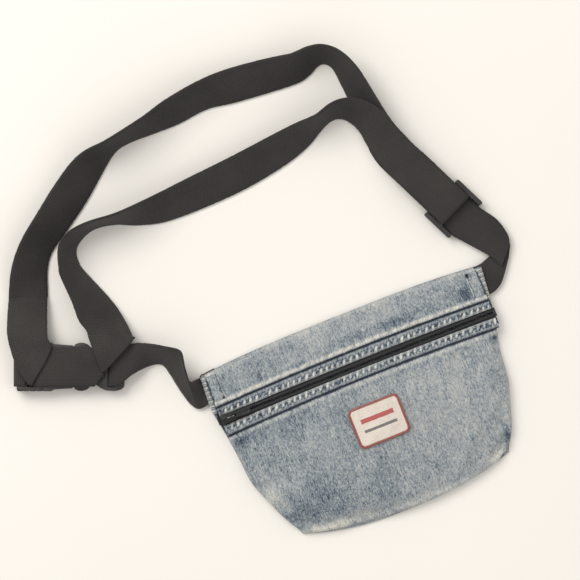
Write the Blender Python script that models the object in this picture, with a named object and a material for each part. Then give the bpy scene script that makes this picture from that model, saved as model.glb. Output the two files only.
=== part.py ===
"""Waist pack: a flat zipped denim pouch on a webbing belt with a side-release buckle.

The pack lies on its back panel at Z = 0.  X runs along the pack's width, Y towards its top
edge and Z up.  The origin is under the middle of the pouch.  Every length below is in
millimetres, and add_solid() turns it into Blender's metres.
"""
import bmesh
import bpy
import numpy as np
from math import cos, radians, sin

METRES = 0.001
GAP = 0.3                      # clearance between neighbouring pieces

# Pouch
HALF_HEIGHT = 65.9             # top and bottom edge from the middle
CLOTH = 1.3                    # thickness of a sewn denim layer
BACK_TOP = 1.5                 # upper face of the back panel
RIM = 3.2                      # height where the front meets the back panel
SIDE_SEAM = 93.6               # where the side seam strips meet the front
CORNER_Y = -55.4               # height on the pouch of its two lower corners
SHOULDER_Y = 62.4              # height on the pouch of its two upper corners

# Zip: a straight run along X at one height
ZIP_Y = 31.4                   # centre line
ZIP_END = 93.3                 # end of tape and coils from the middle
FACING_OUT = 10.4              # outer edge of a facing from the centre line
FACING_IN = 3.2                # inner edge of a facing from the centre line
TAPE_Z = (6.6, 7.2)
COIL_Z = (7.5, 9.0)
FACING_Z = (7.5, 8.6)
COIL_GAP = 0.6                 # half of the gap between the two coils
COIL_WIDTH = 2.0
SLIDER_X = (-93.6, -84.0)
TAB_PIVOT = (-86.6, 11.2)      # X and Z of the pull tab's cross bar

# Belt webbing
WEB_WIDTH = 25.0
WEB_THICK = 1.3

# Buckle, in its own axes: s along it towards the male half, t across it
BUCKLE_AT = (-170.0, 98.5)
BUCKLE_ANGLE = radians(-21.66)
BUCKLE_HALF = 15.5
FEMALE_END = -34.2
HOUSING_END = 1.6
WAIST_END = 13.8
MALE_FACE = 15.0
MALE_END = 34.2
BUCKLE_Z = (0.8, 10.4)
CUT_T = 42.0                   # where the belt's moving length meets its still length

# Strap adjuster, in its own axes: u along the belt away from the pouch, e across it
GLIDE_AT = (94.1, 102.1)
GLIDE_DIRECTION = (-0.419, 0.908)
GLIDE_HALF_LENGTH = 11.0
GLIDE_HALF_WIDTH = 15.75
RIBBON_Z = 3.55                # middle of the webbing where it passes the adjuster

MATERIALS = {
    "denim": ((0.42, 0.50, 0.58), 0.95, 0.0),
    "denim_facing": ((0.47, 0.54, 0.60), 0.95, 0.0),
    "lining": ((0.30, 0.36, 0.44), 0.95, 0.0),
    "label": ((0.80, 0.77, 0.70), 0.90, 0.0),
    "zip_tape": ((0.02, 0.02, 0.025), 0.90, 0.0),
    "zip_coil": ((0.025, 0.025, 0.03), 0.45, 0.0),
    "painted_zinc": ((0.03, 0.03, 0.035), 0.35, 0.6),
    "webbing": ((0.045, 0.043, 0.042), 0.90, 0.0),
    "buckle_plastic": ((0.040, 0.040, 0.040), 0.45, 0.0),
}


def clear_scene():
    for obj in list(bpy.data.objects):
        bpy.data.objects.remove(obj, do_unlink=True)


def material(name):
    found = bpy.data.materials.get(name)
    if found:
        return found
    colour, roughness, metallic = MATERIALS[name]
    made = bpy.data.materials.new(name)
    made.use_nodes = True
    shader = made.node_tree.nodes["Principled BSDF"]
    shader.inputs["Base Color"].default_value = (*colour, 1.0)
    shader.inputs["Roughness"].default_value = roughness
    shader.inputs["Metallic"].default_value = metallic
    return made


def add_solid(name, points, faces, slot, origin=(0.0, 0.0, 0.0)):
    """A mesh object from points in millimetres, with its origin at the given point."""
    origin = np.array(origin, dtype=float)
    mesh = bpy.data.meshes.new(name)
    local = (np.array(points, dtype=float) - origin) * METRES
    mesh.from_pydata([tuple(p) for p in local], [], faces)
    work = bmesh.new()
    work.from_mesh(mesh)
    bmesh.ops.recalc_face_normals(work, faces=work.faces)
    work.to_mesh(mesh)
    work.free()
    mesh.materials.append(material(slot))
    solid = bpy.data.objects.new(name, mesh)
    solid.location = tuple(origin * METRES)
    bpy.context.scene.collection.objects.link(solid)
    return solid


def prism(name, outline, low, high, slot, origin=(0.0, 0.0, 0.0)):
    """A plate between two heights; the outline runs anticlockwise seen from above."""
    count = len(outline)
    points = [(x, y, low) for x, y in outline] + [(x, y, high) for x, y in outline]
    faces = [tuple(reversed(range(count))), tuple(range(count, 2 * count))]
    for i in range(count):
        j = (i + 1) % count
        faces.append((i, j, count + j, count + i))
    return add_solid(name, points, faces, slot, origin)


def holed_plate(name, outer, inner, low, high, slot, origin=(0.0, 0.0, 0.0)):
    """A plate with one window; both outlines run anticlockwise with the same count."""
    count = len(outer)
    points = []
    for outline, z in ((outer, low), (inner, low), (outer, high), (inner, high)):
        points += [(x, y, z) for x, y in outline]
    faces = []
    for i in range(count):
        j = (i + 1) % count
        faces.append((i, count + i, count + j, j))
        faces.append((2 * count + i, 2 * count + j, 3 * count + j, 3 * count + i))
        faces.append((i, j, 2 * count + j, 2 * count + i))
        faces.append((count + i, 3 * count + i, 3 * count + j, count + j))
    return add_solid(name, points, faces, slot, origin)


def shell(name, top, bottom, slot):
    """A closed sheet between two grids of points, rows by columns, seen from above."""
    rows, columns = top.shape[:2]
    points = np.concatenate([top.reshape(-1, 3), bottom.reshape(-1, 3)])
    under = rows * columns
    faces = []
    for r in range(rows - 1):
        for c in range(columns - 1):
            a = r * columns + c
            b = a + columns
            faces.append((a, a + 1, b + 1, b))
            faces.append((under + a, under + b, under + b + 1, under + a + 1))
    rim = list(range(columns))
    rim += [r * columns + columns - 1 for r in range(1, rows)]
    rim += [(rows - 1) * columns + c for c in range(columns - 2, -1, -1)]
    rim += [r * columns for r in range(rows - 2, 0, -1)]
    for i, a in enumerate(rim):
        b = rim[(i + 1) % len(rim)]
        faces.append((a, under + a, under + b, b))
    return add_solid(name, points, faces, slot)


def band(name, left, right, slot, thick=WEB_THICK):
    """Webbing between two edges: the edges hold the middle of the webbing's thickness."""
    left = np.array(left, dtype=float)
    right = np.array(right, dtype=float)
    middle = (left + right) / 2
    along = np.gradient(middle, axis=0)
    across = right - left
    up = np.cross(across, along)
    up /= np.linalg.norm(up, axis=1)[:, None]
    up *= thick / 2
    rings = np.stack([left - up, right - up, right + up, left + up], axis=1)
    count = len(rings)
    faces = [(3, 2, 1, 0), tuple(4 * (count - 1) + k for k in range(4))]
    for i in range(count - 1):
        for k in range(4):
            a = 4 * i + k
            b = 4 * i + (k + 1) % 4
            faces.append((a, b, b + 4, a + 4))
    return add_solid(name, rings.reshape(-1, 3), faces, slot)


def smooth_route(stations, step):
    """Points along a smooth curve through hand-placed stations, about one step apart."""
    stations = np.array(stations, dtype=float)
    ends = np.concatenate([[2 * stations[0] - stations[1]], stations,
                           [2 * stations[-1] - stations[-2]]])
    fine = []
    for i in range(1, len(ends) - 2):
        p0, p1, p2, p3 = ends[i - 1:i + 3]
        for k in np.linspace(0, 1, 12, endpoint=False):
            fine.append(0.5 * (2 * p1 + (p2 - p0) * k + (2 * p0 - 5 * p1 + 4 * p2 - p3) * k ** 2
                               + (3 * p1 - p0 - 3 * p2 + p3) * k ** 3))
    fine.append(stations[-1])
    fine = np.array(fine)
    length = np.concatenate([[0], np.cumsum(np.linalg.norm(np.diff(fine[:, :2], axis=0), axis=1))])
    count = max(2, int(round(length[-1] / step)) + 1)
    wanted = np.linspace(0, length[-1], count)
    return np.stack([np.interp(wanted, length, fine[:, k]) for k in range(fine.shape[1])], axis=1)


def webbing_edges(stations, step=9.0):
    """The two edges of the belt from stations (x, y, lean in degrees, lift).

    The belt leans on its left edge: that edge stays down and the right one rises.
    Lift is how far the lower edge's middle is above the floor.
    """
    route = smooth_route(stations, step)
    along = np.gradient(route[:, :2], axis=0)
    along /= np.linalg.norm(along, axis=1)[:, None]
    right = np.stack([along[:, 1], -along[:, 0]], axis=1)
    lean = np.radians(route[:, 2])
    half = WEB_WIDTH / 2
    height = half * np.sin(lean) + route[:, 3]
    offset = right * (half * np.cos(lean))[:, None]
    rise = half * np.sin(lean)
    left_edge = np.column_stack([route[:, :2] - offset, height - rise])
    right_edge = np.column_stack([route[:, :2] + offset, height + rise])
    return left_edge, right_edge


def from_buckle(s, t):
    c = cos(BUCKLE_ANGLE)
    d = sin(BUCKLE_ANGLE)
    return BUCKLE_AT[0] + s * c - t * d, BUCKLE_AT[1] + s * d + t * c


def buckle_plate(points):
    return [from_buckle(s, t) for s, t in points]


def from_glide(u, e):
    dx, dy = GLIDE_DIRECTION
    return GLIDE_AT[0] + u * dx + e * dy, GLIDE_AT[1] + u * dy - e * dx


def cut_away(solid, cutter):
    """Takes the cutter's volume out of the solid."""
    cutter.hide_render = True
    cutter.display_type = "WIRE"
    modifier = solid.modifiers.new("cut_" + cutter.name, "BOOLEAN")
    modifier.operation = "DIFFERENCE"
    modifier.solver = "EXACT"
    modifier.object = cutter


def joined(solid, piece):
    """Unites the solid with another piece, which then stays as a guide only."""
    piece.hide_render = True
    piece.display_type = "WIRE"
    modifier = solid.modifiers.new("join_" + piece.name, "BOOLEAN")
    modifier.operation = "UNION"
    modifier.solver = "EXACT"
    modifier.object = piece


# ---------------------------------------------------------------- pouch

LEFT_SIDE = ((SHOULDER_Y, -95.7), (36.8, -97.0), (25.3, -94.6), (9.9, -92.5), (-13.1, -90.6),
             (-28.5, -84.8), (-43.8, -78.4), (CORNER_Y, -70.7))
RIGHT_SIDE = ((SHOULDER_Y, 97.0), (36.8, 94.6), (25.3, 93.3), (9.9, 89.0), (-13.1, 86.9),
              (-28.5, 81.8), (-43.8, 77.1), (CORNER_Y, 68.8))


def side_x(side, y):
    heights = [p[0] for p in reversed(side)]
    places = [p[1] for p in reversed(side)]
    return np.interp(y, heights, places)


def bottom_y(across):
    """The bottom edge sags between the two corners; across runs from 0 to 1."""
    return CORNER_Y - (HALF_HEIGHT + CORNER_Y) * (1 - abs(2 * across - 1) ** 2.5)


def top_y(across):
    """The top edge bows up a little in the middle."""
    return SHOULDER_Y + (HALF_HEIGHT - SHOULDER_Y) * (1 - abs(2 * across - 1) ** 3)


def back_panel():
    across = np.linspace(0, 1, 13)
    low_left = LEFT_SIDE[-1][1]
    low_right = RIGHT_SIDE[-1][1]
    high_left = LEFT_SIDE[0][1]
    high_right = RIGHT_SIDE[0][1]
    outline = [(x, y) for y, x in LEFT_SIDE[:-1]]
    outline += [(low_left + (low_right - low_left) * a, bottom_y(a)) for a in across]
    outline += [(x, y) for y, x in reversed(RIGHT_SIDE[:-1])]
    outline += [(high_right + (high_left - high_right) * a, top_y(1 - a)) for a in across[1:-1]]
    return prism("back_panel", outline, 0.0, BACK_TOP, "denim")


def front_panel():
    """The pouch front: crowned in the middle and low at its sides and bottom."""
    start = ZIP_Y - FACING_OUT - GAP
    crown = ((0.0, 5.2), (0.15, 7.4), (0.35, 9.6), (0.6, 9.6), (0.8, 7.4), (0.93, 4.2), (1.0, 0.0))
    inset = 0.6
    downs = (0.0, 0.08, 0.2, 0.35, 0.5, 0.65, 0.8, 0.9, 0.96, 1.0)
    acrosses = (0.0, 0.03, 0.08, 0.16, 0.28, 0.42, 0.58, 0.72, 0.84, 0.92, 0.97, 1.0)
    top = np.zeros((len(downs), len(acrosses), 3))
    for r, down in enumerate(downs):
        nominal = start + down * (CORNER_Y - start)
        left = side_x(LEFT_SIDE, nominal) + inset
        right = side_x(RIGHT_SIDE, nominal) - inset
        rise = np.interp(down, [c[0] for c in crown], [c[1] for c in crown])
        for c, across in enumerate(acrosses):
            edge = abs(2 * across - 1) ** (6 + 40 * (1 - down) ** 8)
            end = bottom_y(across) + inset
            top[r, c] = (left + across * (right - left), start + down * (end - start),
                         RIM + rise * (1 - edge) ** 0.5)
    bottom = top.copy()
    bottom[:, :, 2] -= CLOTH
    return shell("front_panel", top, bottom, "denim")


def top_band():
    """The denim above the zip, falling from the zip to the top edge."""
    start = ZIP_Y + FACING_OUT + GAP
    fall = ((0.0, 5.2), (0.3, 4.8), (0.6, 3.8), (0.85, 2.0), (1.0, 0.0))
    ups = (0.0, 0.3, 0.6, 0.85, 1.0)
    top = np.zeros((len(ups), 13, 3))
    for r, up in enumerate(ups):
        rise = np.interp(up, [f[0] for f in fall], [f[1] for f in fall])
        for c in range(13):
            across = c / 12
            x = -SIDE_SEAM + GAP + across * (2 * SIDE_SEAM - 2 * GAP)
            top[r, c] = (x, start + up * (top_y(across) - start), RIM + rise)
    bottom = top.copy()
    bottom[:, :, 2] -= CLOTH
    return shell("top_band", top, bottom, "denim")


def long_strip(name, low_y, high_y, heights, slot, end=ZIP_END):
    """A straight strip along the zip, one length of fabric or coil."""
    outline = [(-end, low_y), (end, low_y), (end, high_y), (-end, high_y)]
    return prism(name, outline, heights[0], heights[1], slot)


def zip_chain():
    inner = COIL_GAP
    outer = COIL_GAP + COIL_WIDTH
    for side, word in ((1, "upper"), (-1, "lower")):
        def span(a, b):
            low, high = sorted((ZIP_Y + side * a, ZIP_Y + side * b))
            return low, high
        long_strip("zip_tape_" + word, *span(inner + 0.2, FACING_OUT - 0.8), TAPE_Z, "zip_tape")
        long_strip("zip_coil_" + word, *span(inner, outer), COIL_Z, "zip_coil")
        long_strip("zip_facing_" + word, *span(FACING_IN, FACING_OUT), FACING_Z, "denim_facing")


def zip_stops():
    """The tacks that close both ends of the zip, left and right."""
    for name, x0, x1 in (("zip_top_stop", -95.6, -94.0), ("zip_bottom_stop", 93.7, 94.9)):
        outline = [(x0, ZIP_Y - 2.6), (x1, ZIP_Y - 2.6), (x1, ZIP_Y + 2.6), (x0, ZIP_Y + 2.6)]
        prism(name, outline, TAPE_Z[1] - 1.5, COIL_Z[1], "painted_zinc")


def zip_slider():
    """Two plates joined at the nose between the coils, with a bail for the pull tab."""
    x0, x1 = SLIDER_X
    half = 3.3
    origin = ((x0 + x1) / 2, ZIP_Y, COIL_Z[1])
    outline = [(x0, ZIP_Y - half + 1.2), (x0 + 1.5, ZIP_Y - half), (x1 - 1.0, ZIP_Y - half + 0.6),
               (x1, ZIP_Y - half + 1.2), (x1, ZIP_Y + half - 1.2), (x1 - 1.0, ZIP_Y + half - 0.6),
               (x0 + 1.5, ZIP_Y + half), (x0, ZIP_Y + half - 1.2)]
    slider = prism("zip_slider", outline, COIL_Z[1] + GAP, 10.4, "painted_zinc", origin)
    lower = prism("slider_lower_plate", outline, 5.2, TAPE_Z[0] - GAP, "painted_zinc", origin)

    def block(name, low_x, high_x, half_y, low, high):
        corners = [(low_x, ZIP_Y - half_y), (high_x, ZIP_Y - half_y),
                   (high_x, ZIP_Y + half_y), (low_x, ZIP_Y + half_y)]
        return prism(name, corners, low, high, "painted_zinc", origin)

    pivot_x = TAB_PIVOT[0]
    joined(slider, block("slider_nose", x0 + 0.4, x0 + 3.0, 0.3, 5.6, 10.0))
    joined(slider, lower)
    joined(slider, block("bail_left", pivot_x - 2.3, pivot_x - 1.7, 0.5, 10.0, 13.0))
    joined(slider, block("bail_right", pivot_x + 1.7, pivot_x + 2.3, 0.5, 10.0, 13.0))
    joined(slider, block("bail_top", pivot_x - 2.2, pivot_x + 2.2, 0.45, 12.5, 13.2))
    return slider


def pull_tab():
    """A tab with a window, hanging on the slider's bail and lying along the zip."""
    x, z = TAB_PIVOT
    outer = [(x - 0.5, -1.8), (x + 1.5, -1.8), (x + 4.8, -1.6), (x + 9.0, -2.3), (x + 12.6, -2.0),
             (x + 13.6, 0.0), (x + 12.6, 2.0), (x + 9.0, 2.3), (x + 4.8, 1.6), (x + 1.5, 1.8),
             (x - 0.5, 1.8), (x - 0.5, 0.0)]
    inner = [(x + 0.5, -0.8), (x + 1.2, -0.9), (x + 3.4, -0.9), (x + 3.8, -0.8), (x + 4.0, -0.5),
             (x + 4.1, 0.0), (x + 4.0, 0.5), (x + 3.8, 0.8), (x + 3.4, 0.9), (x + 1.2, 0.9),
             (x + 0.5, 0.8), (x + 0.5, 0.0)]
    outer = [(px, ZIP_Y + py) for px, py in outer]
    inner = [(px, ZIP_Y + py) for px, py in inner]
    return holed_plate("pull_tab", outer, inner, z - 0.5, z + 0.5, "painted_zinc", (x, ZIP_Y, z))


def side_trim():
    """Folded edge strips, and the tabs that hold the belt's sewn ends."""
    lower = 36.0
    for word, side in (("left", -1), ("right", 1)):
        edge = side_x(LEFT_SIDE if side < 0 else RIGHT_SIDE, 55.0) * side
        outline = [(SIDE_SEAM * side, lower), (edge * side, lower),
                   (edge * side, 62.0), (SIDE_SEAM * side, 62.0)]
        prism("side_seam_" + word, outline, BACK_TOP + GAP, 6.6, "denim_facing")
        tab = [(SIDE_SEAM * side - GAP * side, 43.0), (SIDE_SEAM * side - GAP * side, 60.0),
               (85.6 * side, 60.0), (85.6 * side, 43.0)]
        heights = {43.0: 8.9, 60.0: 6.9}
        count = len(tab)
        points = [(x, y, heights[y]) for x, y in tab]
        points += [(x, y, heights[y] + 1.2) for x, y in tab]
        faces = [tuple(reversed(range(count))), tuple(range(count, 2 * count))]
        faces += [(i, (i + 1) % count, count + (i + 1) % count, count + i) for i in range(count)]
        add_solid("strap_tab_" + word, points, faces, "denim_facing")


def label_patch():
    """A plain sewn label with rounded corners on the pouch front."""
    half_x = 17.0
    half_y = 13.0
    round_off = 3.0
    middle_y = -6.0
    corners = [(half_x - round_off, -half_y), (half_x, -half_y + round_off),
               (half_x, half_y - round_off), (half_x - round_off, half_y),
               (-half_x + round_off, half_y), (-half_x, half_y - round_off),
               (-half_x, -half_y + round_off), (-half_x + round_off, -half_y)]
    outline = [(x, middle_y + y) for x, y in corners]
    return prism("label_patch", outline, 13.2, 14.0, "label")


# ---------------------------------------------------------------- belt

SHORT_STRAP_LOWER = ((-97.4, 43.6, 2.6), (-103.6, 43.2, 2.6), (-107.4, 47.6, 1.0),
                     (-109.6, 54.6, 1.0), (-111.4, 62.8, 1.0), (-112.8, 70.6, 1.0),
                     (-115.4, 78.4, 1.2), (-123.2, 80.6, 2.6), (-135.6, 79.4, 9.4),
                     (-147.5, 78.9, 9.4))
SHORT_STRAP_UPPER = ((-97.4, 61.4, 2.6), (-102.6, 62.0, 12.0), (-102.4, 70.4, 17.0),
                     (-101.2, 76.4, 20.0), (-100.6, 81.2, 20.5), (-102.6, 84.2, 20.2),
                     (-108.6, 88.0, 20.0), (-116.6, 93.0, 17.0), (-126.6, 97.6, 9.4),
                     (-139.6, 99.4, 9.4))


def left_strap():
    """The short length from the pouch's left side to the male half's bar."""
    left = np.array(SHORT_STRAP_LOWER)
    right = np.array(SHORT_STRAP_UPPER)
    return band("strap_left", left, right, "webbing")


def right_strap():
    """The length sewn in the right side, which folds back to the adjuster."""
    root = [(97.4, 43.4), (99.0, 44.4), (110.0, 56.2), (119.4, 67.2), (104.6, 65.6), (97.4, 62.6)]
    prism("strap_right_root", root, 2.0, 3.3, "webbing")
    left = ((109.4, 56.4, 4.6), (105.2, 64.6, 4.6), (98.0, 73.6, 4.3),
            (*from_glide(-12.6, -12.5), RIBBON_Z))
    right = ((119.4, 67.6, 4.6), (120.4, 74.2, 4.6), (117.6, 85.4, 4.3),
             (*from_glide(-12.6, 12.5), RIBBON_Z))
    return band("strap_right_upper", left, right, "webbing")


STRAND_A = ((71.2, 151.9, 16, 1.0), (68.6, 163.4, 33, 0.8), (67.2, 173.9, 44, 0.8),
            (65.6, 190.0, 53, 0.8), (63.6, 205.0, 58, 0.8), (60.4, 216.5, 66, 0.8),
            (54.0, 223.6, 66, 0.8), (45.0, 225.0, 58, 0.8), (34.0, 222.8, 45, 0.8),
            (14.2, 224.9, 35, 0.8), (-9.0, 227.3, 33, 0.8), (-28.5, 228.3, 46, 0.8),
            (-50.0, 225.6, 50, 0.8), (-66.0, 223.4, 63, 0.8), (-84.0, 221.6, 73, 0.8),
            (-96.0, 219.0, 70, 0.8), (-112.5, 212.6, 42, 0.8), (-129.4, 201.3, 28, 0.8),
            (-146.6, 189.0, 33, 0.8), (-162.0, 177.6, 38, 0.8), (-171.6, 165.6, 28, 0.8),
            (-178.6, 150.8, 10, 1.6))


def strand_a():
    """The long outer strand, from the adjuster round to the buckle."""
    stations = [(*from_glide(u, 0.0), 0.0, RIBBON_Z) for u in (-12.2, 0.0, 14.0, 28.0, 38.0)]
    stations += list(STRAND_A)
    left, right = webbing_edges(stations)
    left = np.vstack([left, (*from_buckle(-15.1, CUT_T + GAP), 4.2)])
    right = np.vstack([right, (*from_buckle(-39.9, CUT_T + GAP), 4.2)])
    return band("belt_strand_a", left, right, "webbing")


STRAND_B = ((74.4, 144.4, 14, 7.2), (69.2, 159.6, 28, 4.2), (66.0, 171.6, 41, 3.4),
            (61.0, 180.2, 51, 2.6), (53.6, 186.4, 60, 1.6), (44.6, 187.9, 69, 0.8),
            (35.0, 185.2, 70, 0.8), (20.5, 181.3, 50, 0.8), (2.6, 177.8, 36, 0.8),
            (-24.3, 174.2, 28, 0.8), (-51.4, 172.3, 32, 0.8), (-78.7, 171.3, 45, 0.8),
            (-96.7, 173.0, 63, 0.8), (-109.0, 175.4, 77, 0.8), (-123.0, 177.2, 80, 0.8),
            (-134.0, 175.6, 74, 0.8), (-142.4, 171.0, 68, 0.8), (-146.2, 163.0, 66, 0.8),
            (-147.0, 154.0, 58, 0.8))


def strand_b():
    """The inner strand, from above the adjuster's sewn loop round to the buckle."""
    stations = [(*from_glide(u, 0.0), 0.0, 10.65) for u in (11.0, 22.0, 34.0)]
    stations += list(STRAND_B)
    left, right = webbing_edges(stations, step=7.5)
    left = np.vstack([left, (*from_buckle(25.9, CUT_T + GAP), 1.8)])
    right = np.vstack([right, (*from_buckle(1.2, CUT_T + GAP), 16.6)])
    return band("belt_strand_b", left, right, "webbing")


def belt_at_buckle():
    """The belt's length that rides with the buckle: two folded legs and the run over it."""
    leg_z = 13.2
    left = [(-39.9, CUT_T - GAP, 4.2), (-40.4, 29.8, 8.0), (-39.6, 18.0, leg_z),
            (-34.6, 1.6, leg_z), (-27.0, -11.0, leg_z)]
    right = [(-15.1, CUT_T - GAP, 4.2), (-14.9, 29.8, 8.0), (-14.2, 18.6, leg_z),
             (-12.2, 10.6, leg_z), (-24.6, -12.0, leg_z)]
    fold_a_left = [(*from_buckle(s, t), z) for s, t, z in right]
    fold_a_right = [(*from_buckle(s, t), z) for s, t, z in left]
    band("belt_fold_a", fold_a_left, fold_a_right, "webbing")

    low = [(25.9, CUT_T - GAP, 1.8), (34.4, 29.8, 5.0), (39.6, 20.0, leg_z - 2.2),
           (40.2, 17.0, leg_z - 0.4), (22.5, -2.4, leg_z)]
    high = [(1.2, CUT_T - GAP, 16.6), (5.6, 29.8, 15.0), (10.4, 23.0, leg_z + 0.4),
            (12.6, 16.0, leg_z), (20.0, -3.6, leg_z)]
    fold_b_left = [(*from_buckle(s, t), z) for s, t, z in low]
    fold_b_right = [(*from_buckle(s, t), z) for s, t, z in high]
    band("belt_fold_b", fold_b_left, fold_b_right, "webbing")

    profile = [(14.0, 10.8), (14.0, 12.1), (-22.0, 12.1), (-24.6, 10.6), (-25.4, 8.0), (-25.4, 2.6),
               (-28.0, 1.9), (-34.2, 1.9), (-35.0, 3.0), (-35.0, 9.4), (-28.0, 9.4),
               (-28.0, 10.6), (-36.2, 10.6), (-36.2, 2.2), (-34.8, 0.6), (-27.0, 0.6),
               (-24.2, 1.6), (-24.2, 7.6), (-23.2, 9.8), (-21.6, 10.8)]
    cross_profile("belt_over_buckle", profile, WEB_WIDTH / 2 - 0.2, from_buckle, "webbing")


def cross_profile(name, profile, half, place, slot):
    """A side profile, drawn along and up, run across a local frame from -half to half."""
    count = len(profile)
    points = []
    for across in (half, -half):
        points += [(*place(s, across), z) for s, z in profile]
    faces = [tuple(range(count)), tuple(reversed(range(count, 2 * count)))]
    for i in range(count):
        j = (i + 1) % count
        faces.append((j, i, count + i, count + j))
    return add_solid(name, points, faces, slot)


# ---------------------------------------------------------------- buckle and adjuster

def rounded(half_s, half_t, cut, middle=(0.0, 0.0)):
    """An eight-cornered outline of a rectangle with its corners cut."""
    s, t = middle
    return [(s + half_s - cut, t - half_t), (s + half_s, t - half_t + cut),
            (s + half_s, t + half_t - cut), (s + half_s - cut, t + half_t),
            (s - half_s + cut, t + half_t), (s - half_s, t + half_t - cut),
            (s - half_s, t - half_t + cut), (s - half_s + cut, t - half_t)]


def buckle_female():
    """The housing: a bar and slot for the belt, and a socket with open sides for the prongs."""
    low, high = BUCKLE_Z
    outline = [(FEMALE_END + 1.0, -BUCKLE_HALF), (-12.5, -BUCKLE_HALF), (-11.5, -14.6),
               (HOUSING_END, -13.6), (HOUSING_END, -11.0), (WAIST_END, -10.4),
               (WAIST_END, 10.4), (HOUSING_END, 11.0), (HOUSING_END, 13.6), (-11.5, 14.6),
               (-12.5, BUCKLE_HALF), (FEMALE_END + 1.0, BUCKLE_HALF),
               (FEMALE_END, BUCKLE_HALF - 1.0), (FEMALE_END, -BUCKLE_HALF + 1.0)]
    housing = prism("buckle_female", buckle_plate(outline), low, high, "buckle_plastic")
    slot = buckle_plate([(-27.6, -12.9), (-21.0, -12.9), (-21.0, 12.9), (-27.6, 12.9)])
    cut_away(housing, prism("female_slot", slot, low - 1, high + 1, "buckle_plastic"))
    bar = buckle_plate([(FEMALE_END - 1, -12.7), (-27.4, -12.7), (-27.4, 12.7),
                        (FEMALE_END - 1, 12.7)])
    cut_away(housing, prism("bar_relief_below", bar, low - 1, 2.3, "buckle_plastic"))
    cut_away(housing, prism("bar_relief_above", bar, 9.0, high + 1, "buckle_plastic"))
    socket = buckle_plate([(-12.0, -12.2), (HOUSING_END + 0.2, -12.2), (HOUSING_END + 0.2, -16.0),
                           (WAIST_END + 1, -16.0), (WAIST_END + 1, 16.0),
                           (HOUSING_END + 0.2, 16.0), (HOUSING_END + 0.2, 12.2), (-12.0, 12.2)])
    cut_away(housing, prism("female_socket", socket, 2.5, 8.7, "buckle_plastic"))
    return housing


def buckle_male():
    """The male half's base: a flared plate with a slot and bar, and a centre tongue."""
    low = BUCKLE_Z[0]
    high = 8.2
    outline = [(MALE_FACE, -10.6), (19.0, -13.4), (23.0, -15.2), (29.0, -15.4), (32.6, -14.4),
               (MALE_END, -12.4), (MALE_END, 12.4), (32.6, 14.4), (29.0, 15.4), (23.0, 15.2),
               (19.0, 13.4), (MALE_FACE, 10.6)]
    base = prism("buckle_male", buckle_plate(outline), low, high, "buckle_plastic")
    slot = buckle_plate([(23.6, -13.0), (29.4, -13.0), (29.4, 13.0), (23.6, 13.0)])
    cut_away(base, prism("male_slot", slot, low - 1, high + 1, "buckle_plastic"))
    tongue = buckle_plate([(-8.0, -2.4), (-6.5, -3.0), (MALE_FACE + 2, -3.0), (MALE_FACE + 2, 3.0),
                           (-6.5, 3.0), (-8.0, 2.4)])
    joined(base, prism("male_tongue", tongue, 3.0, 7.9, "buckle_plastic"))
    return base


def prong(name, side):
    """One springy prong: an arm from the base, a guiding tip and the button that is pressed."""
    half = [(MALE_FACE - GAP, 9.6), (13.2, 11.6), (11.0, 14.2), (8.0, 15.4), (5.0, 15.3),
            (2.6, 14.2), (1.9, 11.8), (-3.0, 11.2), (-6.4, 9.2), (-6.4, 7.4), (-2.0, 6.8),
            (MALE_FACE - GAP, 6.6)]
    outline = [(s, side * t) for s, t in half]
    root = from_buckle(MALE_FACE, side * 8.0)
    return prism(name, buckle_plate(outline), 2.9, 8.3, "buckle_plastic", (*root, 5.6))


def strap_adjuster():
    """The tri-glide: side rails, two outer bars under the belt and a raised middle bar."""
    def block(name, middle_u, half_u, middle_e, half_e, low, high, corner):
        outline = rounded(half_u, half_e, corner, (middle_u, middle_e))
        return prism(name, [from_glide(u, e) for u, e in outline], low, high, "buckle_plastic")

    rail_half = (GLIDE_HALF_WIDTH - 12.9) / 2
    rail_at = GLIDE_HALF_WIDTH - rail_half
    glide = block("tri_glide", 0.0, GLIDE_HALF_LENGTH, rail_at, rail_half, 0.6, 8.1, 1.2)
    joined(glide, block("rail", 0.0, GLIDE_HALF_LENGTH, -rail_at, rail_half, 0.6, 8.1, 1.2))
    reach = rail_at + 0.6
    for word, middle in (("near", -8.8), ("far", 8.8)):
        joined(glide, block("outer_bar_" + word, middle, 1.9, 0.0, reach, 0.8, 2.5, 0.4))
    joined(glide, block("middle_bar", 0.0, 1.9, 0.0, reach, 6.1, 7.9, 0.4))
    return glide


def sewn_loop():
    """The belt's end, wrapped round the middle bar and sewn down on itself."""
    profile = [(14.0, 8.2), (14.0, 9.6), (-2.4, 9.6), (-3.7, 8.4), (-3.7, 5.6), (-2.6, 4.5),
               (9.0, 4.5), (9.0, 5.7), (-1.6, 5.7), (-2.3, 6.2), (-2.3, 7.8), (-1.8, 8.2)]
    return cross_profile("belt_sewn_loop", profile, WEB_WIDTH / 2 - 0.2, from_glide_mirrored,
                         "webbing")


def from_glide_mirrored(u, e):
    return from_glide(u, -e)


def main():
    clear_scene()
    back_panel()
    front_panel()
    top_band()
    zip_chain()
    zip_stops()
    zip_slider()
    pull_tab()
    side_trim()
    label_patch()
    left_strap()
    right_strap()
    strand_a()
    strand_b()
    belt_at_buckle()
    buckle_female()
    buckle_male()
    prong("prong_front", -1)
    prong("prong_rear", 1)
    strap_adjuster()
    sewn_loop()


main()
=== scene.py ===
"""Looks of the waist pack: washed denim, webbing belt, coil zip and moulded buckle.

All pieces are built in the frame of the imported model, in metres.  Lengths given as plain
numbers in tables and calls are millimetres, and MM turns them into metres.
"""

import bmesh
import bpy
import numpy as np
from mathutils import Matrix, Vector, noise


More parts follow.
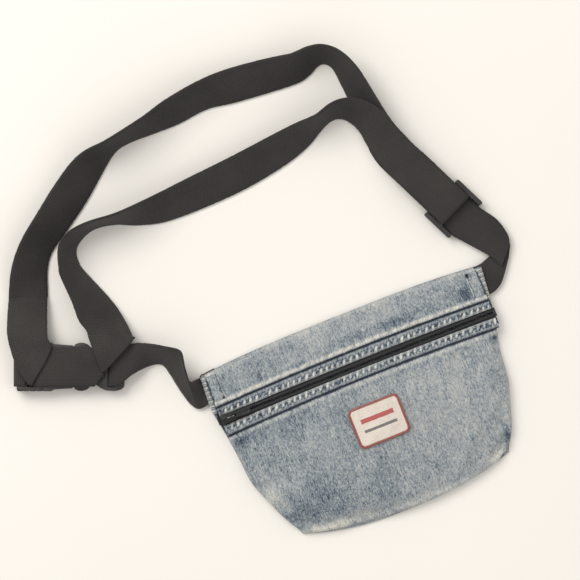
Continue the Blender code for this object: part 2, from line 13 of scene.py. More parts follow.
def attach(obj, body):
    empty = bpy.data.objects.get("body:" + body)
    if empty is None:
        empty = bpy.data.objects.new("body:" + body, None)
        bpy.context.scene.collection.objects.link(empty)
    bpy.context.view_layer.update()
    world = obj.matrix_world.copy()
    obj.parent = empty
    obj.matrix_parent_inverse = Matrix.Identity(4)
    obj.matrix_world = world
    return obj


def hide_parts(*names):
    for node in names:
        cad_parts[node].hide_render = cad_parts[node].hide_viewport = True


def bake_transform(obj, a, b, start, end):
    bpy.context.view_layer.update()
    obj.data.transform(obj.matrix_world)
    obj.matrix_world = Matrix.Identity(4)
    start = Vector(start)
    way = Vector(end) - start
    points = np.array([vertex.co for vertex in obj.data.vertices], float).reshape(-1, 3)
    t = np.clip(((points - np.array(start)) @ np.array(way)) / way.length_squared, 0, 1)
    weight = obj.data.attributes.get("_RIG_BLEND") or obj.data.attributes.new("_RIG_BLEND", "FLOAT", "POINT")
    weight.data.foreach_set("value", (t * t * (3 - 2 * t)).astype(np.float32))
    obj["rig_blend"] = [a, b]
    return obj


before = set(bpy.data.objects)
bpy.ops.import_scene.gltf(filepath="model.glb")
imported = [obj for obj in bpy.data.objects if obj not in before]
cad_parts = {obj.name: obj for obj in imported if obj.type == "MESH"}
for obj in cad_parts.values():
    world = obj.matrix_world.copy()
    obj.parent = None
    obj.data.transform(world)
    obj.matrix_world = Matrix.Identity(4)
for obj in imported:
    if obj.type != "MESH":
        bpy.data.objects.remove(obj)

MM = 0.001
TAU = 2 * np.pi
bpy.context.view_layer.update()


# ------------------------------------------------------------ camera

VIEW_CENTRE = (-21.9, 92.4)        # the point of the floor in the middle of the picture
VIEW_WIDTH = 371.2                 # the picture's width on the floor
PICTURE_RIGHT = (0.9294, -0.3691)  # the picture's sideways direction in the frame
LENS = 200.0
SENSOR = 36.0


def make_camera():
    data = bpy.data.cameras.new("camera")
    data.lens = LENS
    data.sensor_width = SENSOR
    data.clip_start = 0.1
    data.clip_end = 20.0
    camera = bpy.data.objects.new("camera", data)
    bpy.context.scene.collection.objects.link(camera)
    right = Vector((*PICTURE_RIGHT, 0.0)).normalized()
    back = Vector((0.0, 0.0, 1.0))
    facing_down = Matrix((right, back.cross(right), back)).transposed().to_4x4()
    distance = VIEW_WIDTH * MM * LENS / SENSOR
    camera.matrix_world = Matrix.Translation((*(MM * p for p in VIEW_CENTRE), distance)) @ facing_down
    bpy.context.scene.camera = camera


make_camera()
bpy.context.scene.view_settings.view_transform = "Standard"


# ------------------------------------------------------------ mesh helpers

def link_mesh(name, points_mm, faces, material, smooth=True):
    """A mesh piece from points in millimetres."""
    mesh = bpy.data.meshes.new(name)
    mesh.from_pydata((np.asarray(points_mm, dtype=float) * MM).tolist(), [], faces)
    mesh.materials.append(material)
    if smooth:
        mesh.shade_smooth()
    piece = bpy.data.objects.new(name, mesh)
    bpy.context.scene.collection.objects.link(piece)
    return piece


def outward(piece):
    """Turns every face of a closed piece to point out."""
    work = bmesh.new()
    work.from_mesh(piece.data)
    bmesh.ops.recalc_face_normals(work, faces=work.faces)
    work.to_mesh(piece.data)
    work.free()
    return piece


def vertex_places(mesh):
    """Every vertex of a mesh, in metres."""
    points = np.zeros(len(mesh.vertices) * 3)
    mesh.vertices.foreach_get("co", points)
    return points.reshape(-1, 3)


def point_values(piece, name, values):
    """A number at every point of the mesh, for the materials."""
    layer = piece.data.attributes.new(name, "FLOAT", "POINT")
    layer.data.foreach_set("value", np.asarray(values, dtype=np.float32).ravel())


def map_uv(piece, u, v):
    """UV coordinates given per point."""
    layer = piece.data.uv_layers.new(name="UVMap")
    corner = np.zeros(len(piece.data.loops), dtype=np.int32)
    piece.data.loops.foreach_get("vertex_index", corner)
    pairs = np.column_stack([np.asarray(u).ravel()[corner], np.asarray(v).ravel()[corner]])
    layer.data.foreach_set("uv", pairs.astype(np.float32).ravel())


def place_grid(x, y, z):
    return np.stack([x, y, z], axis=-1)


def unit_grid(rows, columns, low=0):
    """Shares from low to 1 down the rows, and the same across the columns."""
    return np.meshgrid(np.linspace(low, 1, rows), np.linspace(low, 1, columns), indexing="ij")


def grid_faces(rows, columns, first=0, flip=False):
    faces = []
    for r in range(rows - 1):
        for c in range(columns - 1):
            a = first + r * columns + c
            b = a + columns
            faces.append((a, b, b + 1, a + 1) if flip else (a, a + 1, b + 1, b))
    return faces


def ring_faces(count, sides, closed=False):
    """Faces of a tube of rings of points, with a cap at each end unless it is closed."""
    faces = []
    for i in range(count if closed else count - 1):
        for k in range(sides):
            a, b = i * sides, (i + 1) % count * sides
            n = (k + 1) % sides
            faces.append((a + k, a + n, b + n, b + k))
    if not closed:
        faces.append(tuple(range(sides - 1, -1, -1)))
        faces.append(tuple((count - 1) * sides + k for k in range(sides)))
    return faces


def cloth_sheet(name, top, thickness, material, rests_at=None):
    """A closed layer of cloth under a grid of points (rows, columns, 3), in millimetres.

    The under side stays above rests_at, so the layer thins where it meets the one below.
    """
    rows, columns = top.shape[:2]
    bottom = top.copy()
    bottom[:, :, 2] -= thickness
    if rests_at is not None:
        bottom[:, :, 2] = np.minimum(np.maximum(bottom[:, :, 2], rests_at), top[:, :, 2] - 0.05)
    under = rows * columns
    faces = grid_faces(rows, columns) + grid_faces(rows, columns, under, True)
    rim = list(range(columns))
    rim += [r * columns + columns - 1 for r in range(1, rows)]
    rim += [(rows - 1) * columns + c for c in range(columns - 2, -1, -1)]
    rim += [r * columns for r in range(rows - 2, 0, -1)]
    for i, a in enumerate(rim):
        b = rim[(i + 1) % len(rim)]
        faces.append((b, a, under + a, under + b))
    points = np.concatenate([top.reshape(-1, 3), bottom.reshape(-1, 3)])
    return outward(link_mesh(name, points, faces, material))


def tube(path, radius, sides=8):
    """Points and faces of a round tube along a path; radius may vary along it."""
    path = np.asarray(path, dtype=float)
    radius = np.broadcast_to(np.asarray(radius, dtype=float), (len(path),))
    tangent = np.gradient(path, axis=0)
    tangent /= np.linalg.norm(tangent, axis=1)[:, None] + 1e-12
    normal = np.zeros_like(path)
    guide = np.array((0.0, 0.0, 1.0))
    if abs(tangent[0] @ guide) > 0.9:
        guide = np.array((1.0, 0.0, 0.0))
    for i in range(len(path)):
        guide = guide - tangent[i] * (guide @ tangent[i])
        guide /= np.linalg.norm(guide) + 1e-12
        normal[i] = guide
    other = np.cross(tangent, normal)
    angles = np.linspace(0, TAU, sides, endpoint=False)
    rings = (path[:, None, :] + radius[:, None, None]
             * (normal[:, None, :] * np.cos(angles)[None, :, None]
                + other[:, None, :] * np.sin(angles)[None, :, None]))
    return rings.reshape(-1, 3), ring_faces(len(path), sides)


class Gather:
    """Collects many small bodies into one mesh."""

    def __init__(self):
        self.points = []
        self.faces = []

    def add(self, points, faces):
        first = len(self.points)
        self.points += [tuple(p) for p in points]
        self.faces += [tuple(first + k for k in face) for face in faces]

    def tube(self, path, radius, sides=6):
        self.add(*tube(path, radius, sides))

    def piece(self, name, material):
        return outward(link_mesh(name, self.points, self.faces, material))


def spline(points, steps, closed=False):
    """A smooth curve through the points, in equal steps from each one to the next."""
    points = np.asarray(points, dtype=float)
    if closed:
        ends = np.concatenate([points[-1:], points, points[:2]])
    else:
        ends = np.concatenate([[2 * points[0] - points[1]], points, [2 * points[-1] - points[-2]]])
    fine = []
    for i in range(1, len(ends) - 2):
        p0, p1, p2, p3 = ends[i - 1:i + 3]
        for k in np.linspace(0, 1, steps, endpoint=False):
            fine.append(0.5 * (2 * p1 + (p2 - p0) * k + (2 * p0 - 5 * p1 + 4 * p2 - p3) * k ** 2
                               + (3 * p1 - p0 - 3 * p2 + p3) * k ** 3))
    return np.array(fine if closed else fine + [points[-1]])


def running_length(points):
    """The length of a path up to each of its points."""
    return np.concatenate([[0], np.cumsum(np.linalg.norm(np.diff(points, axis=0), axis=1))])


def evenly(fine, length, step):
    """The rows of fine at equal steps of the given running length, and where they are."""
    wanted = np.linspace(0, length[-1], max(2, int(round(length[-1] / step)) + 1))
    rows = [np.interp(wanted, length, fine[:, k]) for k in range(fine.shape[1])]
    return np.stack(rows, axis=1), wanted


def soft_noise(x, y, scale, seed=0.0):
    """Smooth noise from -1 to 1 at millimetre points; features are about scale wide."""
    x = np.asarray(x, dtype=float)
    y = np.broadcast_to(np.asarray(y, dtype=float), x.shape)
    flat = [noise.noise(Vector((a / scale, b / scale, seed))) for a, b in zip(x.ravel(), y.ravel())]
    return np.array(flat).reshape(x.shape)


def step_up(value, low, high):
    k = np.clip((np.asarray(value, dtype=float) - low) / (high - low), 0, 1)
    return k * k * (3 - 2 * k)


def hump(value, middle, reach):
    """A bell: 1 at the middle, about a third at the reach."""
    return np.exp(-((value - middle) / reach) ** 2)


def patches(x, y, scale, seed):
    """Soft noise from 0 to 1."""
    return 0.5 + 0.5 * soft_noise(x, y, scale, seed)


def spots(x, y, patchy, rows):
    """Soft spots, each given by its strength, middle, reach and what it adds to the patches."""
    total = 0.0
    for strength, middle, reach, even in rows:
        total += strength * blob(x, y, middle, reach) * (even + patchy)
    return total


def blob(x, y, middle, reach):
    """A soft spot: 1 in its middle, falling to 0 past its reach."""
    d = ((x - middle[0]) / reach[0]) ** 2 + ((y - middle[1]) / reach[1]) ** 2
    return np.exp(-d)


def assign(piece, slot, body, *nodes):
    """The piece's material slot, which is not used, the body that it rides on and the CAD nodes it stands
    for.
    """
    if nodes:
        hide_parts(*nodes)
    if body == "front_lip":
        opens_with_mouth(piece, LIP_START)
    else:
        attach(piece, body)


# ------------------------------------------------------------ materials

def srgb(red, green, blue):
    """A colour of 0 to 255 values as the linear colour that a shader takes."""
    def linear(value):
        value /= 255.0
        return value / 12.92 if value <= 0.04045 else ((value + 0.055) / 1.055) ** 2.4
    return (linear(red), linear(green), linear(blue), 1.0)


class Graph:
    """A material and short names for the nodes it is built from."""

    def __init__(self, name, roughness):
        self.material = bpy.data.materials.new(name)
        self.material.use_nodes = True
        self.nodes = self.material.node_tree.nodes
        self.links = self.material.node_tree.links
        self.shader = self.nodes["Principled BSDF"]
        self.set("Roughness", roughness)
        self.set("Metallic", 0.0)
        self.height = None

    def put(self, socket, value):
        if isinstance(value, bpy.types.NodeSocket):
            self.links.new(value, socket)
        else:
            socket.default_value = value

    def set(self, name, value):
        self.put(self.shader.inputs[name], value)

    def node(self, kind, **inputs):
        node = self.nodes.new("ShaderNode" + kind)
        for name, value in inputs.items():
            self.put(node.inputs[name], value)
        return node

    def place(self, scale=(1.0, 1.0, 1.0), turn=0.0, kind="Object"):
        coordinates = self.node("TexCoord")
        return self.node("Mapping", Scale=scale, Rotation=(0.0, 0.0, turn),
                         Vector=coordinates.outputs[kind]).outputs["Vector"]

    def uv_mm(self):
        """Both coordinates across the piece, in millimetres."""
        parts = self.node("SeparateXYZ", Vector=self.place((1000, 1000, 1), kind="UV"))
        return parts.outputs["X"], parts.outputs["Y"]

    def noise(self, scale, detail=2.0, roughness=0.5):
        """Noise with this many features to the metre in each direction."""
        return self.node("TexNoise", Vector=self.place(scale), Scale=1.0, Detail=detail,
                         Roughness=roughness).outputs["Fac"]

    def wave(self, scale, distortion, turn=0.0):
        return self.node("TexWave", Vector=self.place(turn=turn), Scale=scale,
                         Distortion=distortion).outputs["Fac"]

    def value(self, name):
        node = self.node("Attribute")
        node.attribute_name = name
        return node.outputs["Fac"]

    def math(self, operation, a, b=0.0, c=0.0, clamp=False):
        node = self.node("Math")
        node.operation = operation
        node.use_clamp = clamp
        for socket, value in zip(node.inputs, (a, b, c)):
            self.put(socket, value)
        return node.outputs[0]

    def linear(self, a, b, c, clamp=False):
        """a times b plus c."""
        return self.math("MULTIPLY_ADD", a, b, c, clamp)

    def product(self, a, b):
        return self.math("MULTIPLY", a, b)

    def ridges(self, value):
        """Round ridges with sharp valleys, two to a turn of the value."""
        return self.math("ABSOLUTE", self.math("SINE", value))

    def ramp(self, factor, stops):
        """Colours from stops, each a position and a colour of 0 to 255 values."""
        node = self.node("ValToRGB", Fac=factor)
        elements = node.color_ramp.elements
        while len(elements) < len(stops):
            elements.new(0.5)
        for element, (position, *colour) in zip(elements, stops):
            element.position = position
            element.color = srgb(*colour)
        return node.outputs["Color"]

    def mix(self, factor, a, b):
        node = self.nodes.new("ShaderNodeMix")
        node.data_type = "RGBA"
        self.put(node.inputs["Factor"], factor)
        self.put(node.inputs["A"], a)
        self.put(node.inputs["B"], b)
        return node.outputs["Result"]

    def bump(self, height, strength, distance_mm):
        node = self.node("Bump", Strength=strength, Distance=distance_mm * MM, Height=height)
        if self.height:
            self.links.new(self.height, node.inputs["Normal"])
        self.height = node.outputs["Normal"]
        self.links.new(self.height, self.shader.inputs["Normal"])


def denim_material(name, lift=0.0, grain=0.46, mottle=0.16):
    """Stone-washed twill: pale warp streaks over indigo, worn pale on ridges and dark in seams.

    Point values: wear pales it; the darkening value darkens it, as darker indigo in most places and as
    painted shade in one small fold of the front; the shade value shifts its tone, and on the front that
    shift is painted light and shade.
    """
    g = Graph(name, 0.95)
    warp = g.noise((1450, 400, 600), 2.5, 0.6)
    weft = g.noise((380, 1700, 600), 2.0, 0.6)
    fine = g.noise((2300, 900, 900), 1.0)
    slub = g.noise((700, 70, 300), 1.0)
    wide = g.noise((60, 45, 45), 3.0, 0.6)
    patch = g.noise((190, 120, 120), 2.0, 0.55)
    tone = g.linear(warp, 2 * grain, 0.47 + lift - grain)
    for layer, share in ((fine, 0.42), (slub, 0.20), (weft, 0.42)):
        tone = g.linear(layer, share, tone)
    tone = g.math("ADD", tone, -0.52)
    tone = g.linear(wide, 2 * mottle, tone)
    tone = g.math("ADD", tone, -mottle)
    tone = g.linear(patch, mottle * 1.2, tone)
    tone = g.math("ADD", tone, -mottle * 0.6)
    worn = g.product(g.value("wear"), g.linear(warp, 1.2, 0.4))
    tone = g.linear(worn, 0.42, tone)
    dark = g.product(g.value("indigo_and_shade"), g.linear(patch, -0.9, 1.45))
    tone = g.math("ADD", tone, g.value("shade"))
    tone = g.math("SUBTRACT", tone, g.product(dark, 0.5), clamp=True)
    colour = g.ramp(tone, ((0.0, 34, 40, 52), (0.16, 70, 81, 96),
                           (0.34, 118, 129, 138), (0.52, 158, 164, 166),
                           (0.74, 190, 191, 186), (1.0, 220, 216, 203)))
    g.set("Base Color", colour)
    g.set("Sheen Weight", 0.25)
    g.set("Sheen Roughness", 0.6)
    g.set("Specular IOR Level", 0.15)
    twill = g.wave(560.0, 1.5, turn=0.9)
    g.bump(twill, 0.35, 0.10)
    g.bump(warp, 0.45, 0.25)
    return g.material


RIB_PITCH = 1.5                    # of the webbing, across it
WEFT_PITCH = 1.25                  # and along it


def webbing_material():
    """Ribbed black webbing: rows of floats across it, offset like bricks."""
    g = Graph("webbing", 0.82)
    x, y = g.uv_mm()
    across = g.product(x, TAU / 2 / RIB_PITCH)
    along = g.product(y, TAU / 2 / WEFT_PITCH)
    lean = g.linear(across, 0.5, along)
    rows = g.ridges(along)
    ribs = g.ridges(across)
    slant = g.ridges(lean)
    weave = g.product(g.linear(ribs, 0.5, 0.5), g.math("ADD", rows, slant))
    fuzz = g.noise((1400, 1400, 1400), 2.0)
    cloudy = g.noise((45, 45, 45), 2.0)
    # The weave's relief also sets the colour, lighter on the floats and darker between them: painted shade.
    tone = g.linear(weave, 0.22, g.linear(fuzz, 0.35, -0.02))
    tone = g.linear(cloudy, 0.35, tone)
    colour = g.ramp(tone, ((0.0, 30, 29, 28), (0.45, 50, 48, 47),
                           (0.75, 66, 64, 62), (1.0, 84, 81, 78)))
    g.set("Base Color", colour)
    g.set("Sheen Weight", 0.08)
    g.set("Sheen Roughness", 0.5)
    g.set("Specular IOR Level", 0.2)
    g.bump(weave, 0.6, 0.22)
    g.bump(fuzz, 0.25, 0.12)
    return g.material


def plastic_material(name, shade=44, roughness=0.42):
    """Moulded black plastic with a fine spark-eroded grain and rubbed spots."""
    g = Graph(name, roughness)
    grain = g.noise((2200, 2200, 2200), 2.0)
    cloud = g.noise((90, 90, 90), 3.0)
    low = (0.25, shade - 8, shade - 8, shade - 8)
    high = (0.8, shade + 16, shade + 15, shade + 14)
    g.set("Base Color", g.ramp(cloud, (low, high)))
    g.set("Roughness", g.linear(cloud, 0.22, roughness - 0.11))
    g.bump(grain, 0.25, 0.05)
    return g.material


def paint_material():
    """Black painted zinc; the paint is rubbed through to pale metal on its edges."""
    g = Graph("zip_metal", 0.35)
    cloud = g.noise((700, 700, 700), 3.0)
    edge = g.product(g.value("wear"), g.linear(cloud, 1.6, 0.1))
    edge = g.linear(edge, 1.4, -0.3, clamp=True)
    g.set("Base Color", g.mix(edge, srgb(22, 22, 24), srgb(205, 205, 202)))
    g.set("Metallic", g.product(edge, 0.8))
    g.set("Roughness", g.linear(cloud, 0.25, 0.25))
    g.bump(cloud, 0.2, 0.05)
    return g.material


def tape_material():
    """Woven black zip tape with fine ribs across it."""
    g = Graph("zip_tape", 0.9)
    rib = g.wave(380.0, 0.4)
    fuzz = g.noise((1500, 1500, 1500), 2.0)
    # The ribs also set the colour, lighter on their crests: painted shade between them.
    tone = g.linear(rib, 0.3, g.product(fuzz, 0.6))
    g.set("Base Color", g.ramp(tone, ((0.0, 36, 36, 38), (1.0, 66, 66, 68))))
    g.set("Sheen Weight", 0.2)
    g.bump(rib, 0.5, 0.15)
    return g.material


def coil_material():
    g = Graph("zip_coil", 0.38)
    fuzz = g.noise((900, 900, 900), 2.0)
    g.set("Base Color", g.ramp(fuzz, ((0.2, 38, 38, 40), (0.9, 62, 62, 64))))
    g.set("Roughness", g.linear(fuzz, 0.2, 0.28))
    return g.material


def thread_material(name, dark, pale):
    """Twisted sewing thread."""
    g = Graph(name, 0.8)
    twist = g.wave(900.0, 1.0, turn=0.7)
    # The twist also sets the colour, pale on the plies and dark in the grooves between them: painted shade.
    g.set("Base Color", g.mix(twist, dark, pale))
    g.set("Sheen Weight", 0.2)
    g.bump(twist, 0.4, 0.05)
    return g.material


def label_material():
    """A woven cotton label with a border and two plain bars."""
    g = Graph("label", 0.85)
    x, y = g.uv_mm()
    x = g.math("ABSOLUTE", x)
    weave = g.wave(700.0, 0.6)
    fuzz = g.noise((800, 800, 800), 3.0)
    grime = g.noise((120, 120, 120), 3.0)
    cream = g.ramp(g.linear(fuzz, 0.5, g.product(grime, 0.5)),
                   ((0.25, 204, 194, 182), (0.75, 236, 228, 217)))

    def bar(middle, half, reach):
        off = g.math("ABSOLUTE", g.math("SUBTRACT", y, middle))
        edge = g.linear(fuzz, 0.5, off)
        inside = g.math("LESS_THAN", edge, half + 0.25)
        return g.product(inside, g.math("LESS_THAN", x, reach))

    red = bar(3.4, 1.5, 11.0)
    grey = bar(-3.2, 0.9, 11.0)
    colour = g.mix(g.product(red, 0.9), cream, srgb(176, 66, 66))
    colour = g.mix(g.product(grey, 0.85), colour, srgb(84, 84, 90))
    g.set("Base Color", colour)
    g.set("Sheen Weight", 0.2)
    g.bump(weave, 0.4, 0.12)
    g.bump(fuzz, 0.3, 0.12)
    return g.material


DENIM = denim_material("denim")
DENIM_TRIM = denim_material("denim_trim", lift=-0.03, grain=0.34, mottle=0.08)
WEBBING = webbing_material()
PLASTIC = plastic_material("buckle_plastic")
PAINT = paint_material()
TAPE = tape_material()
COIL = coil_material()
BLACK_THREAD = thread_material("black_thread", srgb(24, 24, 28), srgb(52, 52, 58))
INDIGO_THREAD = thread_material("indigo_thread", srgb(38, 44, 58), srgb(66, 74, 92))
RED_THREAD = thread_material("red_thread", srgb(140, 52, 50), srgb(176, 84, 78))
CREAM_THREAD = thread_material("cream_thread", srgb(158, 158, 152), srgb(202, 202, 196))
LABEL = label_material()


# ------------------------------------------------------------ belt

WEB_WIDTH = 25.0
WEB_THICK = 1.3
BUCKLE_AT = np.array((-170.0, 98.5))
BUCKLE_ANGLE = np.radians(-21.66)
GLIDE_AT = np.array((94.1, 102.1))
GLIDE_DIRECTION = np.array((-0.419, 0.908))
CUT_T = 42.0


def from_buckle(s, t):
    """A point in the frame from the buckle's own axes: s along it, t across it."""
    c, d = np.cos(BUCKLE_ANGLE), np.sin(BUCKLE_ANGLE)
    return BUCKLE_AT[0] + s * c - t * d, BUCKLE_AT[1] + s * d + t * c


def at_buckle_axes(rows):
    """Stations (x, y, z) in the frame from rows of (s, t, z) on the buckle's axes."""
    return [(*from_buckle(s, t), z) for s, t, z in rows]


def from_glide(u, e):
    """A point in the frame from the adjuster's own axes: u along the belt, e across it."""
    dx, dy = GLIDE_DIRECTION
    return GLIDE_AT[0] + u * dx + e * dy, GLIDE_AT[1] + u * dy - e * dx


STRAND_A = ((71.2, 151.9, 16, 1.0), (68.6, 163.4, 33, 0.8), (67.2, 173.9, 44, 0.8),
            (65.6, 190.0, 53, 0.8), (63.6, 205.0, 58, 0.8), (60.4, 216.5, 66, 0.8),
            (54.0, 223.6, 66, 0.8), (45.0, 225.0, 58, 0.8), (34.0, 222.8, 45, 0.8),
            (14.2, 224.9, 35, 0.8), (-9.0, 227.3, 33, 0.8), (-28.5, 228.3, 46, 0.8),
            (-50.0, 225.6, 50, 0.8), (-66.0, 223.4, 63, 0.8), (-84.0, 221.6, 73, 0.8),
            (-96.0, 219.0, 70, 0.8), (-112.5, 212.6, 42, 0.8), (-129.4, 201.3, 28, 0.8),
            (-146.6, 189.0, 33, 0.8), (-162.0, 177.6, 38, 0.8), (-171.6, 165.6, 28, 0.8),
            (-178.6, 150.8, 10, 1.6))
STRAND_B = ((74.4, 144.4, 14, 7.2), (69.2, 159.6, 28, 4.2), (66.0, 171.6, 41, 3.4),
            (61.0, 180.2, 51, 2.6), (53.6, 186.4, 60, 1.6), (44.6, 187.9, 69, 0.8),
            (35.0, 185.2, 70, 0.8), (20.5, 181.3, 50, 0.8), (2.6, 177.8, 36, 0.8),
            (-24.3, 174.2, 28, 0.8), (-51.4, 172.3, 32, 0.8), (-78.7, 171.3, 45, 0.8),
            (-96.7, 173.0, 63, 0.8), (-109.0, 175.4, 77, 0.8), (-123.0, 177.2, 80, 0.8),
            (-134.0, 175.6, 74, 0.8), (-142.4, 171.0, 68, 0.8), (-146.2, 163.0, 66, 0.8),
            (-147.0, 154.0, 58, 0.8))


def webbing_edges(stations, step):
    """The two edges of the belt from stations (x, y, lean in degrees, lift)."""
    fine = spline(stations, 24)
    route = evenly(fine, running_length(fine[:, :2]), step)[0]
    along = np.gradient(route[:, :2], axis=0)
    along /= np.linalg.norm(along, axis=1)[:, None]
    right = np.stack([along[:, 1], -along[:, 0]], axis=1)
    lean = np.radians(route[:, 2])
    half = WEB_WIDTH / 2
    rise = half * np.sin(lean)
    height = rise + route[:, 3]
    offset = right * (half * np.cos(lean))[:, None]
    left_edge = np.column_stack([route[:, :2] - offset, height - rise])
    right_edge = np.column_stack([route[:, :2] + offset, height + rise])
    return left_edge, right_edge


def resample_edges(left, right, step):
    """Both edges run through a smooth curve and cut into equal steps of the middle line."""
    fine = spline(np.column_stack([left, right]), 16)
    fine, wanted = evenly(fine, running_length((fine[:, :3] + fine[:, 3:]) / 2), step)
    return fine[:, :3], fine[:, 3:], wanted


PICK = WEFT_PITCH / 2


def webbing(name, left, right, start=0.0, thick=WEB_THICK):
    """A length of webbing between two edges, with full selvedges and a slight cup.

    Returns the piece and its centre line in metres.
    """
    left, right, along = resample_edges(left, right, PICK)
    count = len(along)
    middle = (left + right) / 2
    across = right - left
    width = np.linalg.norm(across, axis=1)
    across /= width[:, None]
    forward = np.gradient(middle, axis=0)
    up = np.cross(across, forward)
    up /= np.linalg.norm(up, axis=1)[:, None]
    half = width / 2 + 0.10 * np.where(np.arange(count) % 2, 1.0, -1.0)
    half += 0.16 * soft_noise(along, 0.0, 2.4, start + 3.0)
    profile = []
    for k in np.linspace(-1, 1, 13):
        profile.append((k * 0.985, 0.5 + 0.09 * np.exp(-((abs(k) - 0.93) / 0.05) ** 2)))
    profile = [(-1.0, 0.22)] + profile + [(1.0, 0.22)]
    loop = profile + [(k, -h) for k, h in reversed(profile)]
    sides = len(loop)
    rings = np.zeros((count, sides, 3))
    for i, (k, h) in enumerate(loop):
        rings[:, i] = middle + across * (half * k)[:, None] + up * (h * thick)
    piece = outward(link_mesh(name, rings.reshape(-1, 3), ring_faces(count, sides), WEBBING))
    u = np.tile([k * WEB_WIDTH / 2 + (WEB_WIDTH if h < 0 else 0) for k, h in loop], count)
    v = np.repeat(along + start, sides)
    map_uv(piece, u * MM, v * MM)
    return piece, middle * MM


def line_length(path):
    return float(np.linalg.norm(np.diff(path, axis=0), axis=1).sum())


RIBBON_Z = 3.55


def long_strand():
    """From the fold at the pouch's right side, through the adjuster and round to the buckle."""
    upper_left = [(109.4, 56.4, 4.6), (105.2, 64.6, 4.6), (98.0, 73.6, 4.3)]
    upper_right = [(119.4, 67.6, 4.6), (120.4, 74.2, 4.6), (117.6, 85.4, 4.3)]
    stations = [(*from_glide(u, 0.0), 0.0, RIBBON_Z) for u in (-12.2, 0.0, 14.0, 28.0, 38.0)]
    stations += list(STRAND_A)
    left, right = webbing_edges(stations, 6.0)
    leg_z = 13.2
    end_right = [(-39.9, CUT_T, 4.2), (-40.4, 29.8, 8.0), (-39.6, 18.0, leg_z),
                 (-34.6, 1.6, leg_z), (-27.0, -11.0, leg_z)]
    end_left = [(-15.1, CUT_T, 4.2), (-14.9, 29.8, 8.0), (-14.2, 18.6, leg_z),
                (-12.2, 10.6, leg_z), (-24.6, -12.0, leg_z)]
    left = np.vstack([upper_left, left, at_buckle_axes(end_left)])
    right = np.vstack([upper_right, right, at_buckle_axes(end_right)])
    piece, path = webbing("belt_long_strand", left, right)
    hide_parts("strap_right_upper", "belt_strand_a", "belt_fold_a")
    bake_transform(piece, "pack", "buckle_socket", start=(-0.115, 0.213, 0.01),
             end=(-0.186, 0.140, 0.005))


def inner_strand():
    """From the adjuster's middle bar round to the fold at the buckle, in two lengths."""
    stations = [(*from_glide(u, 0.0), 0.0, z) for u, z in ((-1.0, 8.95), (11.0, 10.4), (22.0, 11.4))]
    stations += [(*from_glide(34.0, 0.0), 2.0, 11.2)]
    stations += list(STRAND_B)
    left, right = webbing_edges(stations, 5.0)
    low = [(25.9, CUT_T, 1.8), (34.4, 29.8, 5.0), (39.6, 20.0, 11.0), (40.2, 17.0, 12.8),
           (22.5, -2.4, 13.2)]
    high = [(1.2, CUT_T, 16.6), (5.6, 29.8, 15.0), (10.4, 23.0, 13.6), (12.6, 16.0, 13.2),
            (20.0, -3.6, 13.2)]
    left = np.vstack([left, at_buckle_axes(low)])
    right = np.vstack([right, at_buckle_axes(high)])
    joint = int(np.argmin(np.abs((left[:, 0] + right[:, 0]) / 2 + 24.0)))
    first, path_one = webbing("belt_inner_strand_right", left[:joint + 1], right[:joint + 1])
    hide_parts("belt_strand_b", "belt_sewn_loop")
    second, path_two = webbing("belt_inner_strand_left", left[joint:], right[joint:],
                               line_length(path_one) / MM)
    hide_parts("belt_fold_b")
    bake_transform(first, "adjuster", "pack", start=tuple(np.array((*from_glide(13, 0), 8)) * MM),
             end=tuple(np.array((*from_glide(57, 0), 8)) * MM))
    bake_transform(second, "pack", "buckle_socket", start=(-0.080, 0.171, 0.01),
             end=(-0.146, 0.142, 0.01))


def over_buckle():
    """The run over the buckle, with its turn round the housing's bar."""
    profile = [(-14.0, 11.4), (-20.6, 11.2), (-24.0, 9.4), (-25.0, 6.4), (-25.6, 2.8), (-28.0, 1.3),
               (-33.6, 1.3), (-35.6, 3.0), (-35.8, 6.0), (-35.2, 9.0), (-33.0, 10.4), (-28.6, 10.5)]
    half = WEB_WIDTH / 2
    left = [(15.5, -half, 11.6), (10.0, -half, 11.5), (0.0, -half, 11.4)]
    right = [(33.5, half - 0.5, 11.6), (18.0, half, 11.5), (0.0, half, 11.4)]
    left += [(s, -half, z) for s, z in profile]
    right += [(s, half, z) for s, z in profile]
    piece, _ = webbing("belt_over_buckle_run", at_buckle_axes(left), at_buckle_axes(right))
    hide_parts("belt_over_buckle")
    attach(piece, "buckle_socket")


def short_straps():
    lower = [(-92.0, 43.8, 3.0), (-97.4, 43.6, 2.6), (-103.6, 43.2, 2.6), (-107.4, 47.6, 1.0),
             (-109.6, 54.6, 1.0), (-111.4, 62.8, 1.0), (-112.8, 70.6, 1.0), (-115.4, 78.4, 1.2),
             (-123.2, 80.6, 2.6), (-135.6, 79.2, 9.4)]
    lower += at_buckle_axes([(31.0, -11.8, 9.3), (26.0, -12.4, 9.1), (24.6, -12.4, 7.6),
                             (24.6, -12.4, 4.8)])
    upper = [(-92.0, 61.6, 3.0), (-97.4, 61.4, 2.6), (-102.6, 62.0, 12.0), (-102.4, 70.4, 17.0),
             (-101.2, 76.4, 20.0), (-100.6, 81.2, 20.5), (-102.6, 84.2, 20.2),
             (-108.6, 88.0, 20.0), (-116.6, 93.0, 17.0), (-126.6, 97.6, 9.4)]
    upper += at_buckle_axes([(31.0, 12.2, 9.3), (26.0, 12.4, 9.1), (24.6, 12.4, 7.6),
                             (24.6, 12.4, 4.8)])
    piece, _ = webbing("strap_left_webbing", lower, upper)
    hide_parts("strap_left")
    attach(piece, "pack")
    left = ((92.0, 42.8, 2.9), (98.2, 43.0, 2.7), (103.6, 45.4, 2.7), (108.6, 50.4, 2.7),
            (115.6, 60.0, 2.7))
    right = ((92.0, 62.6, 2.9), (98.2, 63.2, 2.7), (103.6, 65.2, 2.7), (110.6, 66.6, 2.7),
             (119.8, 67.6, 2.7))
    piece, _ = webbing("strap_right_webbing", left, right)
    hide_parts("strap_right_root")
    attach(piece, "pack")


long_strand()
inner_strand()
over_buckle()
short_straps()


# ------------------------------------------------------------ pouch shape

